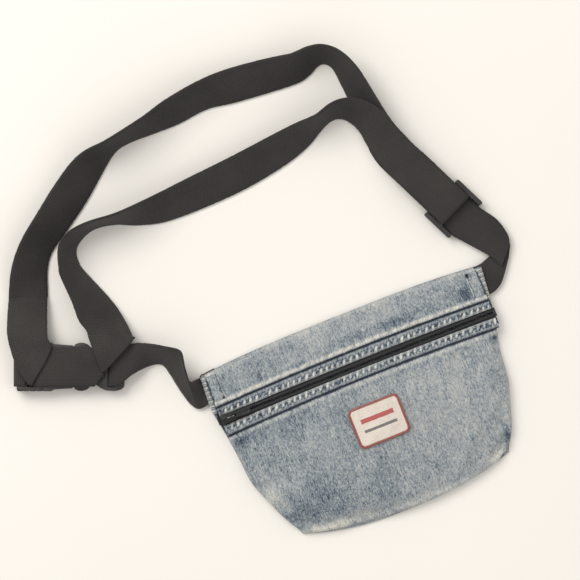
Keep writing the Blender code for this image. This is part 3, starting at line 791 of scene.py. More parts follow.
HALF_HEIGHT = 65.9
RIM = 3.2
CORNER_Y = -55.4
TOP_CORNER = 62.4
ZIP_Y = 31.4
LEFT_SIDE = ((62.4, -95.7), (36.8, -97.0), (25.3, -94.6), (9.9, -92.5), (-13.1, -90.6),
             (-28.5, -84.8), (-43.8, -78.4), (CORNER_Y, -70.7))
RIGHT_SIDE = ((62.4, 97.0), (36.8, 94.6), (25.3, 93.3), (9.9, 89.0), (-13.1, 86.9),
              (-28.5, 81.8), (-43.8, 77.1), (CORNER_Y, 68.8))
SIDES = (("left", -1, LEFT_SIDE), ("right", 1, RIGHT_SIDE))
SIDE_SEAM = 93.3
EDGE_Z = 1.75
BACK_TOP = 1.5
LAYER_Z = BACK_TOP + 0.06          # where the layers over the back come to rest
SEAM_REACH = 93.0
LIP_START = 10.0                   # where the lower lip's cloth starts to follow the mouth
LIP_END = 18.0                     # and where it follows it fully
FRONT_START = -52.0                # the same start on the front, which bends over its height


def side_x(side, y):
    """Where the pouch's side edge is at a height on the pouch, with its corners eased."""
    heights = [p[0] for p in reversed(side)]
    places = [p[1] for p in reversed(side)]
    return np.mean([np.interp(y + off, heights, places) for off in (-5.0, -2.5, 0.0, 2.5, 5.0)],
                   axis=0)


def across_pouch(u, y):
    """The place at u from side to side at height y, and the sides themselves."""
    left = side_x(LEFT_SIDE, y)
    right = side_x(RIGHT_SIDE, y)
    return left + u * (right - left), left, right


def bottom_y(across):
    return CORNER_Y - (HALF_HEIGHT + CORNER_Y) * (1 - np.abs(2 * across - 1) ** 2.5)


def top_y(across):
    return TOP_CORNER + (HALF_HEIGHT - TOP_CORNER) * (1 - np.abs(2 * across - 1) ** 3)


def upper_seam(x):
    return 39.7 + 2.0 * (1 - (x / SEAM_REACH) ** 2)


def lower_seam(x):
    return 20.6 + 2.3 * (1 - ((x - 8) / SEAM_REACH) ** 2)


def eased(value, places, heights):
    """Straight-line interpolation with its corners rounded off."""
    return np.mean([np.interp(value + off, places, heights)
                    for off in (-0.05, -0.025, 0.0, 0.025, 0.05)], axis=0)


def front_base(u, v):
    """The front's upper surface at u across and v down, before the cloth settles."""
    x, left, right = across_pouch(u, 20.7 + v * (CORNER_Y - 20.7))
    start = lower_seam(x)
    y = start + v * (bottom_y(u) - start)
    y += 1.5 * v ** 4 * hump(x, -35, 26)
    tight = np.exp(-((x - 68.8) ** 2 + (y + 55.4) ** 2) / 5.0 ** 2)
    x -= 1.7 * tight
    y += 1.3 * tight
    rise = eased(v, (0.0, 0.15, 0.35, 0.6, 0.8, 0.93, 1.0), (5.2, 7.4, 9.4, 9.4, 7.4, 4.2, 0.4))
    power = 6 + 40 * (1 - v) ** 8
    crown = RIM + rise * np.sqrt(np.clip(1 - np.abs(2 * u - 1) ** power, 0, 1))
    edge = np.minimum(np.minimum(x - left, right - x), (1 - v) * (start - bottom_y(u)))
    turn = np.clip(edge / 3.0, 0, 1)
    z = EDGE_Z + (crown - EDGE_Z) * np.sqrt(1 - (1 - turn) ** 2)
    return place_grid(x, y, z), edge


def cubic_weights(coarse, fine):
    """Catmull-Rom weights that carry values from a coarse row of points to a fine one."""
    weights = np.zeros((fine, coarse))
    for i, place in enumerate(np.linspace(0, coarse - 1, fine)):
        k = min(int(place), coarse - 2)
        t = place - k
        shares = (0.5 * (-t + 2 * t ** 2 - t ** 3), 0.5 * (2 - 5 * t ** 2 + 3 * t ** 3),
                  0.5 * (t + 4 * t ** 2 - 3 * t ** 3), 0.5 * (-t ** 2 + t ** 3))
        for off, share in zip((-1, 0, 1, 2), shares):
            weights[i, min(max(k + off, 0), coarse - 1)] += share
    return weights


CLOTH_GROWTH = 0.02                # the sheet is cut this much too large, so that it ripples
CLOTH_FRAMES = 18


def settle(grid, pressure, cap):
    """Cloth simulation of a sheet sewn down all round; returns how far each point moves."""
    rows, columns = grid.shape[:2]
    piece = link_mesh("settling", grid.reshape(-1, 3), grid_faces(rows, columns, flip=True), DENIM)
    place = np.arange(rows * columns).reshape(rows, columns)
    rim = np.concatenate([place[0], place[-1], place[:, 0], place[:, -1]])
    piece.vertex_groups.new(name="sewn").add([int(k) for k in np.unique(rim)], 1.0, "REPLACE")
    cloth = piece.modifiers.new("cloth", "CLOTH")
    for name, value in (("quality", 8), ("mass", 0.3), ("tension_stiffness", 40),
                        ("compression_stiffness", 40), ("shear_stiffness", 25),
                        ("bending_stiffness", 0.6), ("vertex_group_mass", "sewn"),
                        ("use_pressure", True), ("uniform_pressure_force", pressure),
                        ("shrink_min", -CLOTH_GROWTH)):
        setattr(cloth.settings, name, value)
    cloth.settings.effector_weights.gravity = 0
    cloth.point_cache.frame_start = 1
    cloth.point_cache.frame_end = CLOTH_FRAMES
    for frame_number in range(1, CLOTH_FRAMES + 1):
        bpy.context.scene.frame_set(frame_number)
    result = piece.evaluated_get(bpy.context.evaluated_depsgraph_get()).data
    moved = vertex_places(result).reshape(rows, columns, 3) / MM - grid
    length = np.linalg.norm(moved, axis=-1, keepdims=True)
    moved *= cap * np.tanh(length / cap) / (length + 1e-9)
    bpy.data.objects.remove(piece)
    bpy.context.scene.frame_set(1)
    return moved


def settled(base, coarse, fine, pressure, cap):
    """A sheet settled on a coarse grid of points, and carried over to a fine one."""
    v, u = unit_grid(*coarse)
    moved = settle(base(u, v)[0], pressure, cap)
    v, u = unit_grid(*fine)
    grid, edge = base(u, v)
    return u, v, grid + finer(moved, *fine), edge


def finer(moved, rows, columns):
    row_weights = cubic_weights(moved.shape[0], rows)
    column_weights = cubic_weights(moved.shape[1], columns)
    return np.einsum("ia,jb,abk->ijk", row_weights, column_weights, moved)


def mouth_share(x):
    """How much of the mouth's opening a place along the zip takes: none at its two ends."""
    return step_up(x, -92.0, -45.0) * (1 - step_up(x, 40.0, 88.0))


def opens_with_mouth(piece, from_y):
    """The piece follows the lower lip in the middle and stays put at both ends of the zip."""
    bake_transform(piece, "pack", "front_lip", start=(0, from_y * MM, 0), end=(0, LIP_END * MM, 0))
    layer = piece.data.attributes["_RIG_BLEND"]
    share = np.zeros(len(piece.data.vertices), dtype=np.float32)
    layer.data.foreach_get("value", share)
    share *= mouth_share(vertex_places(piece.data)[:, 0] / MM).astype(np.float32)
    layer.data.foreach_set("value", share)


def pucker(x, y, pitch=4.3, shift=0.0):
    """Roping beside a seam: leaning ridges with an uneven pitch, from -1 to 1."""
    drift = 1.9 * soft_noise(x, 0.0, 15.0, 5.0)
    return np.sin(TAU * ((x - 0.38 * y + drift) / pitch + shift))


def seam_relief(x, y, d, seed, worn=1.0):
    """Height, wear and ink beside a seam at distance d: a valley, then a worn ridge."""
    rope = pucker(x, y, 6.2)
    ridge = hump(d, 2.4, 1.3)
    valley = hump(d, 0.0, 0.75)
    height = ridge * (0.42 + 0.20 * rope) - 0.85 * valley
    uneven = patches(x, d, 9.0, seed)
    wear = worn * ridge * (0.55 + 0.30 * rope + 0.40 * uneven)
    indigo_and_shade = valley * (1.35 + 0.3 * uneven) + 0.25 * hump(d, 5.0, 1.6) * (1 - uneven)
    return height, wear, indigo_and_shade


def attach_wash(piece, wear, indigo_and_shade, shade=0.0):
    """The wear, darkening and shade values for the upper points, repeated for the under side; on the front
    the shade value is painted light and shade.
    """
    for name, values in (("wear", wear), ("indigo_and_shade", indigo_and_shade), ("shade", shade)):
        upper = np.broadcast_to(np.ravel(values), (len(piece.data.vertices) // 2,))
        point_values(piece, name, np.concatenate([upper, upper]))


def front():
    """The washed front of the pouch."""
    u, v, grid, edge = settled(front_base, (33, 65), (150, 340), 3.0, 2.2)
    x, y = grid[..., 0].copy(), grid[..., 1].copy()
    d = v * (lower_seam(x) - bottom_y(u))
    inside = step_up(edge, 0.0, 4.0)
    height, wear, indigo_and_shade = seam_relief(x, y, d, 1.0, 0.42)
    grid[..., 2] += height * step_up(np.minimum(x + 93, 90 - x), 0, 3)
    slack = soft_noise(x, y, 26.0, 2.0) * 0.7 + soft_noise(x, y, 11.0, 3.0) * 0.28
    creases = soft_noise(x + 0.6 * y, y * 0.35, 8.0, 8.0)
    grid[..., 2] += inside * (slack + 0.22 * creases)
    # A small fold pressed in at (73.5, -47); a spot below paints shade into it.
    grid[..., 2] -= 1.2 * np.exp(-(((x - 73.5) * 0.9 + (y + 47) * 0.3) / 1.3) ** 2
                                 - ((y + 47) / 5) ** 2)
    yarn = soft_noise(x, y * 0.2, 0.8, 4.0)
    grid[..., 2] += 0.035 * yarn * inside
    rim = hump(edge, 1.6, 1.1)
    patchy = patches(x, y, 6.0, 6.0)
    wear += 0.50 * rim * patchy
    wear += spots(x, y, 0.0, ((1.1, (64, -56), (8, 4.5), 1), (0.40, (-64, -55), (7, 4.0), 1)))
    wear += spots(x, y, patchy, ((0.55, (-83, -28), (7, 7), 0.5), (0.95, (-52, -58), (24, 3.6), 0.5),
                                 (0.45, (10, -63), (45, 3.0), 0.4)))
    # These spots darken the front near both sides below the zip and, in the third, paint shade into the
    # small fold at (73.5, -47).
    indigo_and_shade += spots(x, y, 0.0, ((0.40, (-87, 13.5), (7, 4), 1), (0.45, (88, 15.5), (5, 3), 1),
                             (0.8, (73.5, -47), (2.2, 5), 1)))
    indigo_and_shade += spots(x, y, patchy, ((0.072, (-54, -38), (16, 21), 1), (0.102, (-70, -46), (12, 10), 1),
                                (0.072, (-36, 9), (30, 9), 1), (0.07, (-20, -28), (26, 12), 0.4)))
    indigo_and_shade += 0.3 * rim * (1 - patchy)
    # Painted light and shade: lighter towards +x, darker towards the bottom and darker along the raised
    # creases.
    shade = 0.05 * x / 90 - 0.03 * step_up(-y, 20, 60) - 0.03 * creases
    piece = cloth_sheet("pouch_front", grid, 1.3, DENIM, LAYER_Z)
    attach_wash(piece, wear, indigo_and_shade, shade)
    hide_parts("front_panel")
    opens_with_mouth(piece, FRONT_START)
    return grid


def band():
    """The denim above the zip, rolled over at its top edge."""
    def base(u, v):
        x = -SIDE_SEAM + u * 2 * SIDE_SEAM
        start = upper_seam(x)
        sway = 1.6 * hump(x, -69, 8) + 1.0 * hump(x, 63, 10)
        y = start + v * (top_y(u) - sway - start)
        fall = eased(v, (0.0, 0.3, 0.6, 0.85, 1.0), (5.2, 4.8, 3.8, 2.0, 0.6))
        edge = (1 - v) * (top_y(u) - start)
        turn = np.clip(edge / 2.6, 0, 1)
        z = EDGE_Z + (RIM + fall - EDGE_Z) * np.sqrt(1 - (1 - turn) ** 2)
        return place_grid(x, y, z), edge

    u, v, grid, edge = settled(base, (13, 49), (60, 340), 1.5, 1.0)
    x, y = grid[..., 0].copy(), grid[..., 1].copy()
    d = v * (top_y(u) - upper_seam(x))
    height, wear, indigo_and_shade = seam_relief(x, y, d, 11.0)
    slack = soft_noise(x, y, 22.0, 12.0) * 0.5 + soft_noise(x, y, 9.0, 13.0) * 0.22
    grid[..., 2] += height + slack * step_up(edge, 0, 4)
    grid[..., 2] += 0.035 * soft_noise(x, y * 0.2, 0.8, 14.0)
    patchy = patches(x, y, 6.0, 16.0)
    rim = hump(edge, 1.4, 1.2)
    wear += 0.40 * rim * patchy
    wear += spots(x, y, 0.0, ((0.6, (-90, 61), (6, 3.5), 1), (0.4, (91, 61), (4, 3), 1)))
    indigo_and_shade += spots(x, y, patchy, ((0.16, (-60, 54), (22, 9), 0.5), (0.50, (31, 50), (34, 2.4), 0.2),
                                (0.55, (82, 49), (6, 6), 0.3)))
    shade = 0.02 - 0.02 * step_up(np.abs(x), 60, 93)
    piece = cloth_sheet("top_band_cloth", grid, 1.3, DENIM, LAYER_Z)
    attach_wash(piece, wear, indigo_and_shade, shade)
    assign(piece, "denim", "pack", "top_band")
    return grid


def back():
    """The plain back: one sheet of the same denim, rounded up to the seams at its rim."""
    rows, columns = 110, 170
    v, u = unit_grid(rows, columns)
    x, left, right = across_pouch(u, TOP_CORNER + v * (CORNER_Y - TOP_CORNER))
    y = top_y(u) + v * (bottom_y(u) - top_y(u))
    edge = np.minimum(np.minimum(x - left, right - x), np.minimum(v, 1 - v) * 120)
    top = np.stack([x, y, np.full_like(x, BACK_TOP)], axis=-1)
    piece = cloth_sheet("pouch_back", top, 1.2, DENIM)
    points = vertex_places(piece.data)
    under = rows * columns
    ripple = 0.22 * soft_noise(x, y, 18.0, 21.0).ravel() * step_up(edge.ravel(), 0, 5)
    lifted = np.exp(-edge.ravel() / 1.4)
    points[under:, 2] = (0.28 + np.maximum(ripple, -0.2) + 0.7 * lifted) * MM
    piece.data.vertices.foreach_set("co", points.ravel())
    patchy = patches(x, y, 14.0, 22.0)
    rim = hump(edge, 1.5, 1.3)
    attach_wash(piece, 0.5 * rim * patchy, 0.15 * (1 - patchy))
    assign(piece, "denim", "pack", "back_panel")


# ------------------------------------------------------------ zip

TAPE_TOP = 7.2
ZIP_REACH = 93.3
LIPS = {"upper": "pack", "lower": "front_lip"}    # the bodies of the two sides of the mouth


def facing_inner(x, side):
    """The folded edge of a facing, which bows a little towards the top."""
    bow = 1 - ((x - 7) / SEAM_REACH) ** 2
    return 33.8 + 1.1 * bow if side > 0 else 27.6 + 1.4 * bow


def facing(word, side):
    """A folded strip of denim beside the zip, roped by its two rows of stitches."""
    w, u = unit_grid(20, 380)
    x = -ZIP_REACH + u * 2 * ZIP_REACH
    seam = upper_seam(x) if side > 0 else lower_seam(x)
    inner = facing_inner(x, side) + 0.12 * soft_noise(x, 0.0, 14.0, 31.0 + side)
    y = inner + w * (seam - side * 0.1 - inner)
    width = np.abs(seam - inner)
    near_zip = w * width
    near_seam = (1 - w) * width
    rough = patches(x, y, 2.6, 33.0 + side)
    uneven = 0.75 + 0.6 * soft_noise(x, 0.0, 6.0, 35.0 + side)
    near_row = hump(near_zip, 2.2, 1.75)
    far_row = hump(near_seam, 2.3, 1.0)
    near_ticks = np.clip(pucker(x, y), 0, 1) * near_row * uneven
    far_ticks = np.clip(pucker(x, y, shift=0.5), 0, 1) * far_row * uneven
    fold = np.sqrt(1 - (1 - np.clip(near_zip / 1.0, 0, 1)) ** 2)
    puff = np.sin(np.pi * np.clip(w, 0, 1)) ** 0.6
    z = 8.0 + 0.50 * fold + 0.20 * puff + 0.42 * near_ticks + 0.30 * far_ticks
    z -= 0.40 * hump(near_seam, 0.0, 0.6)
    z += 0.14 * soft_noise(x, y, 3.2, 32.0 + side)
    grid = place_grid(x, y, z)
    far_share = 0.75 if side < 0 else 0.35
    clump = step_up(soft_noise(x, 0.0, 11.0, 37.0 + side), -0.9, 0.5)
    wear = (2.5 * near_ticks * clump + far_share * far_ticks + 0.22 * rough * puff
            + 0.55 * hump(near_zip, 0.5, 0.5) * rough)
    between = (1 - np.clip(near_ticks + far_ticks, 0, 1)) * (near_row + far_row)
    indigo_and_shade = 0.72 * between * (0.30 + rough) + 1.5 * hump(near_seam, 0.0, 0.6)
    piece = cloth_sheet("zip_facing_" + word + "_cloth", grid, 1.1, DENIM_TRIM, TAPE_TOP + 0.25)
    attach_wash(piece, wear, indigo_and_shade)
    assign(piece, "denim_trim", LIPS[word], "zip_facing_" + word)
    return grid


def sit_on(grid, x, y):
    """The height of a grid of points at (x, y), by nearest point."""
    d = (grid[..., 0] - x) ** 2 + (grid[..., 1] - y) ** 2
    return grid[..., 2].ravel()[np.argmin(d)]


STITCH_PITCH = 2.9
STITCH_LENGTH = 2.2


def heights_on(grid, x, y):
    return np.array([sit_on(grid, a, b) for a, b in zip(x.ravel(), y.ravel())]).reshape(x.shape)


def stitch_row(gather, grid, line):
    """Single stitches along a line y = line(x), each sunk into the cloth at both ends."""
    for i, x in enumerate(np.arange(-91, 91, STITCH_PITCH)):
        wander = 0.10 * np.sin(1.7 * i) + 0.06 * np.sin(4.1 * i)
        path = []
        for k in np.linspace(0, 1, 6):
            px = x + k * STITCH_LENGTH
            py = line(px) + wander + 0.10 * (k - 0.5)
            path.append((px, py, sit_on(grid, px, py) - 0.10 + 0.26 * np.sin(np.pi * k)))
        gather.tube(path, 0.21)


def zip_tapes():
    for word, side in (("upper", 1), ("lower", -1)):
        w, u = unit_grid(14, 380)
        ragged = 0.5 * soft_noise(w * 9, 0.0, 1.3, 41.0)
        x = -ZIP_REACH - 0.4 + u * (2 * ZIP_REACH + 1.2 + ragged)
        y = ZIP_Y + side * (0.8 + w * 7.4)
        z = TAPE_TOP + 0.10 * np.sin(TAU * x / 1.15) * step_up(w, 0.1, 0.3)
        z += 0.05 * soft_noise(x, y, 2.0, 42.0)
        piece = cloth_sheet("zip_tape_" + word + "_woven", place_grid(x, y, z), 0.6, TAPE)
        assign(piece, "zip_tape", LIPS[word], "zip_tape_" + word)


def zip_coils():
    """Each coil is one wound monofilament, with its two rows of chain stitch."""
    pitch = 1.45
    turns = int(2 * ZIP_REACH / pitch)
    angle = np.linspace(0, TAU * turns, turns * 12)
    for word, side in (("upper", 1), ("lower", -1)):
        shift = 0.0 if side > 0 else pitch / 2
        x = -ZIP_REACH + 0.4 + shift + pitch * angle / TAU
        lobe = np.cos(angle)
        y = ZIP_Y + side * (1.30 - 0.70 * lobe)
        z = 8.25 + 0.48 * np.sin(angle)
        swell = 0.25 + 0.08 * np.clip(lobe, 0, 1) ** 4
        keep = x < ZIP_REACH
        gather = Gather()
        gather.tube(np.column_stack([x, y, z])[keep], swell[keep])
        for row in (1.2, 1.75):
            path = [(px, ZIP_Y + side * row, 8.80 + 0.07 * np.sin(TAU * px / 2.9))
                    for px in np.arange(-ZIP_REACH, ZIP_REACH, 0.7)]
            gather.tube(path, 0.16, 5)
        piece = gather.piece("zip_coil_" + word + "_wound", COIL)
        assign(piece, "zip_coil", LIPS[word], "zip_coil_" + word)


def mirrored(half):
    """A closed outline from its half at positive t, mirrored across t = 0."""
    return [(s, -t) for s, t in half] + [(s, t) for s, t in reversed(half) if t]


def rectangle(x0, x1, y0, y1):
    return [(x0, y0), (x1, y0), (x1, y1), (x0, y1)]


def rounded_loop(corners, radius, segments=5):
    """A closed outline whose corners are arcs of about the given radius."""
    corners = np.asarray(corners, dtype=float)
    out = []
    for i, corner in enumerate(corners):
        before = corners[i - 1] - corner
        after = corners[(i + 1) % len(corners)] - corner
        reach = min(radius, 0.45 * np.linalg.norm(before), 0.45 * np.linalg.norm(after))
        a = corner + before / np.linalg.norm(before) * reach
        b = corner + after / np.linalg.norm(after) * reach
        for k in np.linspace(0, 1, segments + 1):
            out.append((1 - k) ** 2 * a + 2 * k * (1 - k) * corner + k ** 2 * b)
    return np.array(out)


def prism(outline, low, high):
    """Points and faces of a flat outline raised from low to high."""
    count = len(outline)
    faces = [tuple(reversed(range(count))), tuple(range(count, 2 * count))]
    faces += [(i, (i + 1) % count, count + (i + 1) % count, count + i) for i in range(count)]
    return [(x, y, z) for z in (low, high) for x, y in outline], faces


def block(name, outline, low, high, material):
    points, faces = prism(outline, low, high)
    return outward(link_mesh(name, points, faces, material, False))


def moulded(piece, cuts=(), adds=(), bevel=0.5, segments=3):
    """Cuts and adds the given blocks, rounds all edges, and keeps the result as the mesh."""
    for how, others in (("DIFFERENCE", cuts), ("UNION", adds)):
        for other in others:
            modifier = piece.modifiers.new(how.lower(), "BOOLEAN")
            modifier.operation = how
            modifier.solver = "EXACT"
            modifier.object = other
    round_edges = piece.modifiers.new("round", "BEVEL")
    round_edges.width = bevel * MM
    round_edges.segments = segments
    round_edges.limit_method = "ANGLE"
    round_edges.angle_limit = np.radians(38)
    graph = bpy.context.evaluated_depsgraph_get()
    mesh = bpy.data.meshes.new_from_object(piece.evaluated_get(graph))
    piece.modifiers.clear()
    piece.data = mesh
    for other in list(cuts) + list(adds):
        bpy.data.objects.remove(other)
    mesh.shade_smooth()
    mesh.set_sharp_from_angle(angle=np.radians(35))
    return piece


def edge_wear(piece):
    """Wear on every rounded edge, where faces look neither straight up nor sideways."""
    piece.data.update()
    normals = np.array([v.normal[:] for v in piece.data.vertices])
    tilt = np.max(np.abs(normals), axis=1)
    point_values(piece, "wear", step_up(1 - tilt, 0.05, 0.30))


SLIDER_X = (-93.6, -84.0)
TAB_PIVOT = (-86.6, 11.2)


def slider_and_tab():
    x0, x1 = SLIDER_X

    def along_zip(points):
        return [(px, ZIP_Y + py) for px, py in points]

    half = [(x0, 1.6), (x0 + 0.9, 2.9), (x0 + 2.6, 3.3), (x0 + 6.0, 2.9), (x1 - 0.8, 2.7), (x1, 1.8)]
    plan = along_zip(spline(mirrored(half), 4, True))
    lower = block("slider_lower", plan, 5.25, 6.25, PAINT)
    neck = rectangle(x0 + 0.5, x0 + 3.0, ZIP_Y - 0.2, ZIP_Y + 0.2)
    divider = block("slider_divider", rounded_loop(neck, 0.15), 5.7, 9.9, PAINT)
    top = rectangle(x0 + 1.0, x1 - 1.0, ZIP_Y - 1.0, ZIP_Y + 1.0)
    ridge = block("slider_ridge", rounded_loop(top, 0.9), 10.0, 10.58, PAINT)
    piece = moulded(block("zip_slider_cast", plan, 9.3, 10.4, PAINT),
                    adds=(divider, lower, ridge), bevel=0.36)
    pivot, pivot_z = TAB_PIVOT
    rise = [(-2.1, 10.3), (-2.15, 11.4), (-1.9, 12.4), (-1.2, 12.75)]
    arch = rise + [(0.0, 12.85)] + [(-px, z) for px, z in reversed(rise)]
    arch = np.array([(pivot + px, ZIP_Y, z) for px, z in arch])
    path = [a * (1 - k) + b * k for a, b in zip(arch, arch[1:]) for k in (0.0, 0.25, 0.5, 0.75)]
    gather = Gather()
    gather.tube(path + [arch[-1]], 0.42, 10)
    bail = gather.piece("zip_slider_bail", PAINT)
    for part in (piece, bail):
        edge_wear(part)
        assign(part, "zip_metal", "slider")
    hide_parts("zip_slider")

    outer = [(-0.5, 1.7), (1.5, 1.9), (4.8, 1.6), (9.0, 2.3), (12.4, 2.1), (13.6, 0.0)]
    inner = [(0.5, 0.8), (3.3, 0.9), (4.1, 0.0)]
    dimple = [(7.6, 1.1), (11.6, 1.2), (12.3, 0.0)]

    def at_pivot(name, half, radius, low, high):
        outline = [(pivot + px, py) for px, py in rounded_loop(mirrored(half), radius, 4)]
        return block(name, along_zip(outline), pivot_z + low, pivot_z + high, PAINT)

    tab = moulded(at_pivot("pull_tab_cast", outer, 1.2, -0.5, 0.5),
                  cuts=(at_pivot("tab_window", inner, 0.5, -2, 2),
                        at_pivot("tab_recess", dimple, 0.6, 0.28, 2)), bevel=0.36)
    edge_wear(tab)
    assign(tab, "zip_metal", "tab", "pull_tab")


def zip_ends():
    """Bar tacks that close both ends of the zip."""
    for node, x0, x1, name in (("zip_top_stop", -95.5, -94.0, "zip_left_bar_tack"),
                               ("zip_bottom_stop", 93.6, 94.9, "zip_right_bar_tack")):
        gather = Gather()
        for i, y in enumerate(np.linspace(-2.6, 2.6, 15)):
            lean = 0.25 * (1 if i % 2 else -1)
            path = [(x0 + k * (x1 - x0), ZIP_Y + y + lean * (k - 0.5),
                     7.4 + 1.45 * np.sin(np.pi * k) ** 0.5) for k in np.linspace(0, 1, 8)]
            gather.tube(path, 0.22)
        core = rectangle(x0 + 0.15, x1 - 0.15, ZIP_Y - 2.6, ZIP_Y + 2.6)
        gather.add(*prism(rounded_loop(core, 0.4), 6.0, 8.5))
        piece = gather.piece(name, BLACK_THREAD)
        assign(piece, "zip_metal", "pack", node)


# ------------------------------------------------------------ sides, tabs, label, stitches

def zip_end_folds():
    """The denim that turns down to the back at both ends of the zip."""
    for word, side, outline in SIDES:
        w, u = unit_grid(60, 18)
        low, high = (21.4, 35.6) if side < 0 else (20.9, 37.4)
        y = low + w * (high - low)
        outer = np.abs(side_x(outline, y))
        inner = np.minimum(94.3 if side < 0 else 93.9, outer - 0.9)
        turn = u * np.pi / 2
        x = side * (inner + (outer - inner) * np.sin(turn))
        z = EDGE_Z + 3.9 * np.cos(turn) + 0.18 * soft_noise(x * 2, y, 3.0, 71.0) * np.sin(turn)
        piece = cloth_sheet("zip_end_fold_" + word, place_grid(x, y, z), 0.7,
                            DENIM_TRIM, LAYER_Z)
        patchy = patches(x * 2, y, 2.5, 72.0)
        attach_wash(piece, 0.6 * patchy * u, 0.5 * (1 - patchy) + 0.4 * (1 - u))
        assign(piece, "denim_trim", "pack")


def side_bindings():
    """The folded side edges above the zip, whipped over with thread."""
    for word, side, outline in SIDES:
        gather = Gather()
        y = np.linspace(36.2, 61.6, 90)
        outer = np.abs(side_x(outline, y))
        middle = (outer + SIDE_SEAM) / 2 - 0.1
        half = (outer - SIDE_SEAM) / 2 + 0.35
        sides = 18
        points = []
        for i in range(len(y)):
            lump = 1 + 0.04 * np.sin(TAU * y[i] / 3.1) + 0.02 * np.sin(1.9 * i)
            for k in range(sides):
                a = TAU * k / sides
                points.append((side * (middle[i] + half[i] * lump * np.cos(a)), y[i],
                               4.2 + 2.45 * np.sin(a) * (0.9 + 0.1 * lump)))
        faces = ring_faces(len(y), sides)
        piece = outward(link_mesh("side_binding_" + word, points, faces, DENIM_TRIM))
        ripple = np.sin(TAU * np.array([p[1] for p in points]) / 3.1)
        point_values(piece, "wear", 0.65 + 0.35 * ripple)
        point_values(piece, "indigo_and_shade", np.clip(-ripple, 0, 1) * 0.5)
        point_values(piece, "shade", 0.0 * ripple)
        assign(piece, "denim_trim", "pack", "side_seam_" + word)
        for i, py in enumerate(np.arange(37.5, 61.0, 3.1)):
            reach = float(np.interp(py, y, outer))
            path = [(side * (SIDE_SEAM + 0.1 + k * (reach - SIDE_SEAM)), py + 0.5 * k,
                     5.0 + 2.0 * np.sin(np.pi * (0.15 + 0.7 * k))) for k in np.linspace(0, 1, 7)]
            gather.tube(path, 0.15)
        thread = gather.piece("side_whip_stitches_" + word, INDIGO_THREAD)
        assign(thread, "denim_trim", "pack")


TAB_INNER = 85.0
TAB_WIDTH = 8.3
TAB_LOW = 43.6
TAB_HEIGHT = 17.0


def strap_tabs(band_grid):
    """Where the belt's ends are sewn in, the band is a layer thicker and stitched down."""
    for word, side in (("left", -1), ("right", 1)):
        w, u = unit_grid(44, 22)
        x = side * (TAB_INNER + u * TAB_WIDTH)
        y = TAB_LOW + w * TAB_HEIGHT
        inner = np.clip(u * TAB_WIDTH / 0.7, 0, 1)
        ends = np.clip(np.minimum(w, 1 - w) * TAB_HEIGHT / 0.8, 0, 1)
        z = heights_on(band_grid, x, y)
        z = z - 0.15 + 0.62 * np.sqrt(inner * ends) + 0.12 * soft_noise(x, y, 3.0, 51.0)
        z -= 0.18 * np.exp(-((u * TAB_WIDTH - 1.2) / 0.4) ** 2)
        tops = place_grid(x, y, z)
        patchy = patches(x, y, 3.5, 52.0)
        piece = cloth_sheet("strap_tab_" + word + "_cloth", tops, 0.7, DENIM)
        seam = np.exp(-((1 - u) * TAB_WIDTH / 1.0) ** 2)
        tack = 0.9 * blob(x, y, (85.5, 60.2), (1.6, 1.6)) if side > 0 else 0.0
        attach_wash(piece, 0.35 * patchy + 0.3 * (inner < 1), seam + 0.25 * (1 - patchy) + tack)
        assign(piece, "denim_trim", "pack", "strap_tab_" + word)
        gather = Gather()
        for i, py in enumerate(np.arange(44.4, 59.6, 2.7)):
            px = side * (86.2 + 0.06 * np.sin(i))
            gather.tube([(px, py + 2.0 * k, sit_on(tops, px, py + 2.0 * k) + 0.22 * np.sin(np.pi * k))
                         for k in np.linspace(0, 1, 6)], 0.20)
        low_end, turns = (43.9, 3) if side < 0 else (57.9, 6)
        for py in low_end + 0.42 * np.arange(turns):
            gather.tube([(px, py, sit_on(tops, px, py) + 0.12 + 0.22 * np.sin(np.pi * k))
                         for k, px in ((k, side * (85.5 + 1.7 * k)) for k in np.linspace(0, 1, 5))],
                        0.17)
        thread = gather.piece("strap_tab_stitches_" + word, BLACK_THREAD)
        assign(thread, "denim_trim", "pack")


def strap_edge(band_grid):
    """The black edge of the sewn-in strap, which shows along the upper left corner."""
    places = np.linspace(-92.9, -85.4, 14)
    rim = band_grid[-1]
    path = [(-96.0, 61.9, 5.8), (-94.4, 63.0, 4.6)]
    path += [(x, float(np.interp(x, rim[:, 0], rim[:, 1])) + 0.38, 2.7) for x in places]
    gather = Gather()
    gather.tube(path, 0.34, 8)
    piece = gather.piece("strap_edge_left", BLACK_THREAD)
    assign(piece, "webbing", "pack")


def lip_stitches(word, side, grid, seam):
    """The two rows of thread along one side of the zip."""
    gather = Gather()
    stitch_row(gather, grid, lambda x: facing_inner(x, side) + side * 1.3)
    stitch_row(gather, grid, lambda x: seam(x) - side * 1.9)
    thread = gather.piece(word + "_lip_stitches", CREAM_THREAD)
    assign(thread, "denim_trim", LIPS[word])


LABEL_HALF = (17.0, 13.0)          # half its width and height
LABEL_Y = -6.0                     # its middle's place up the front


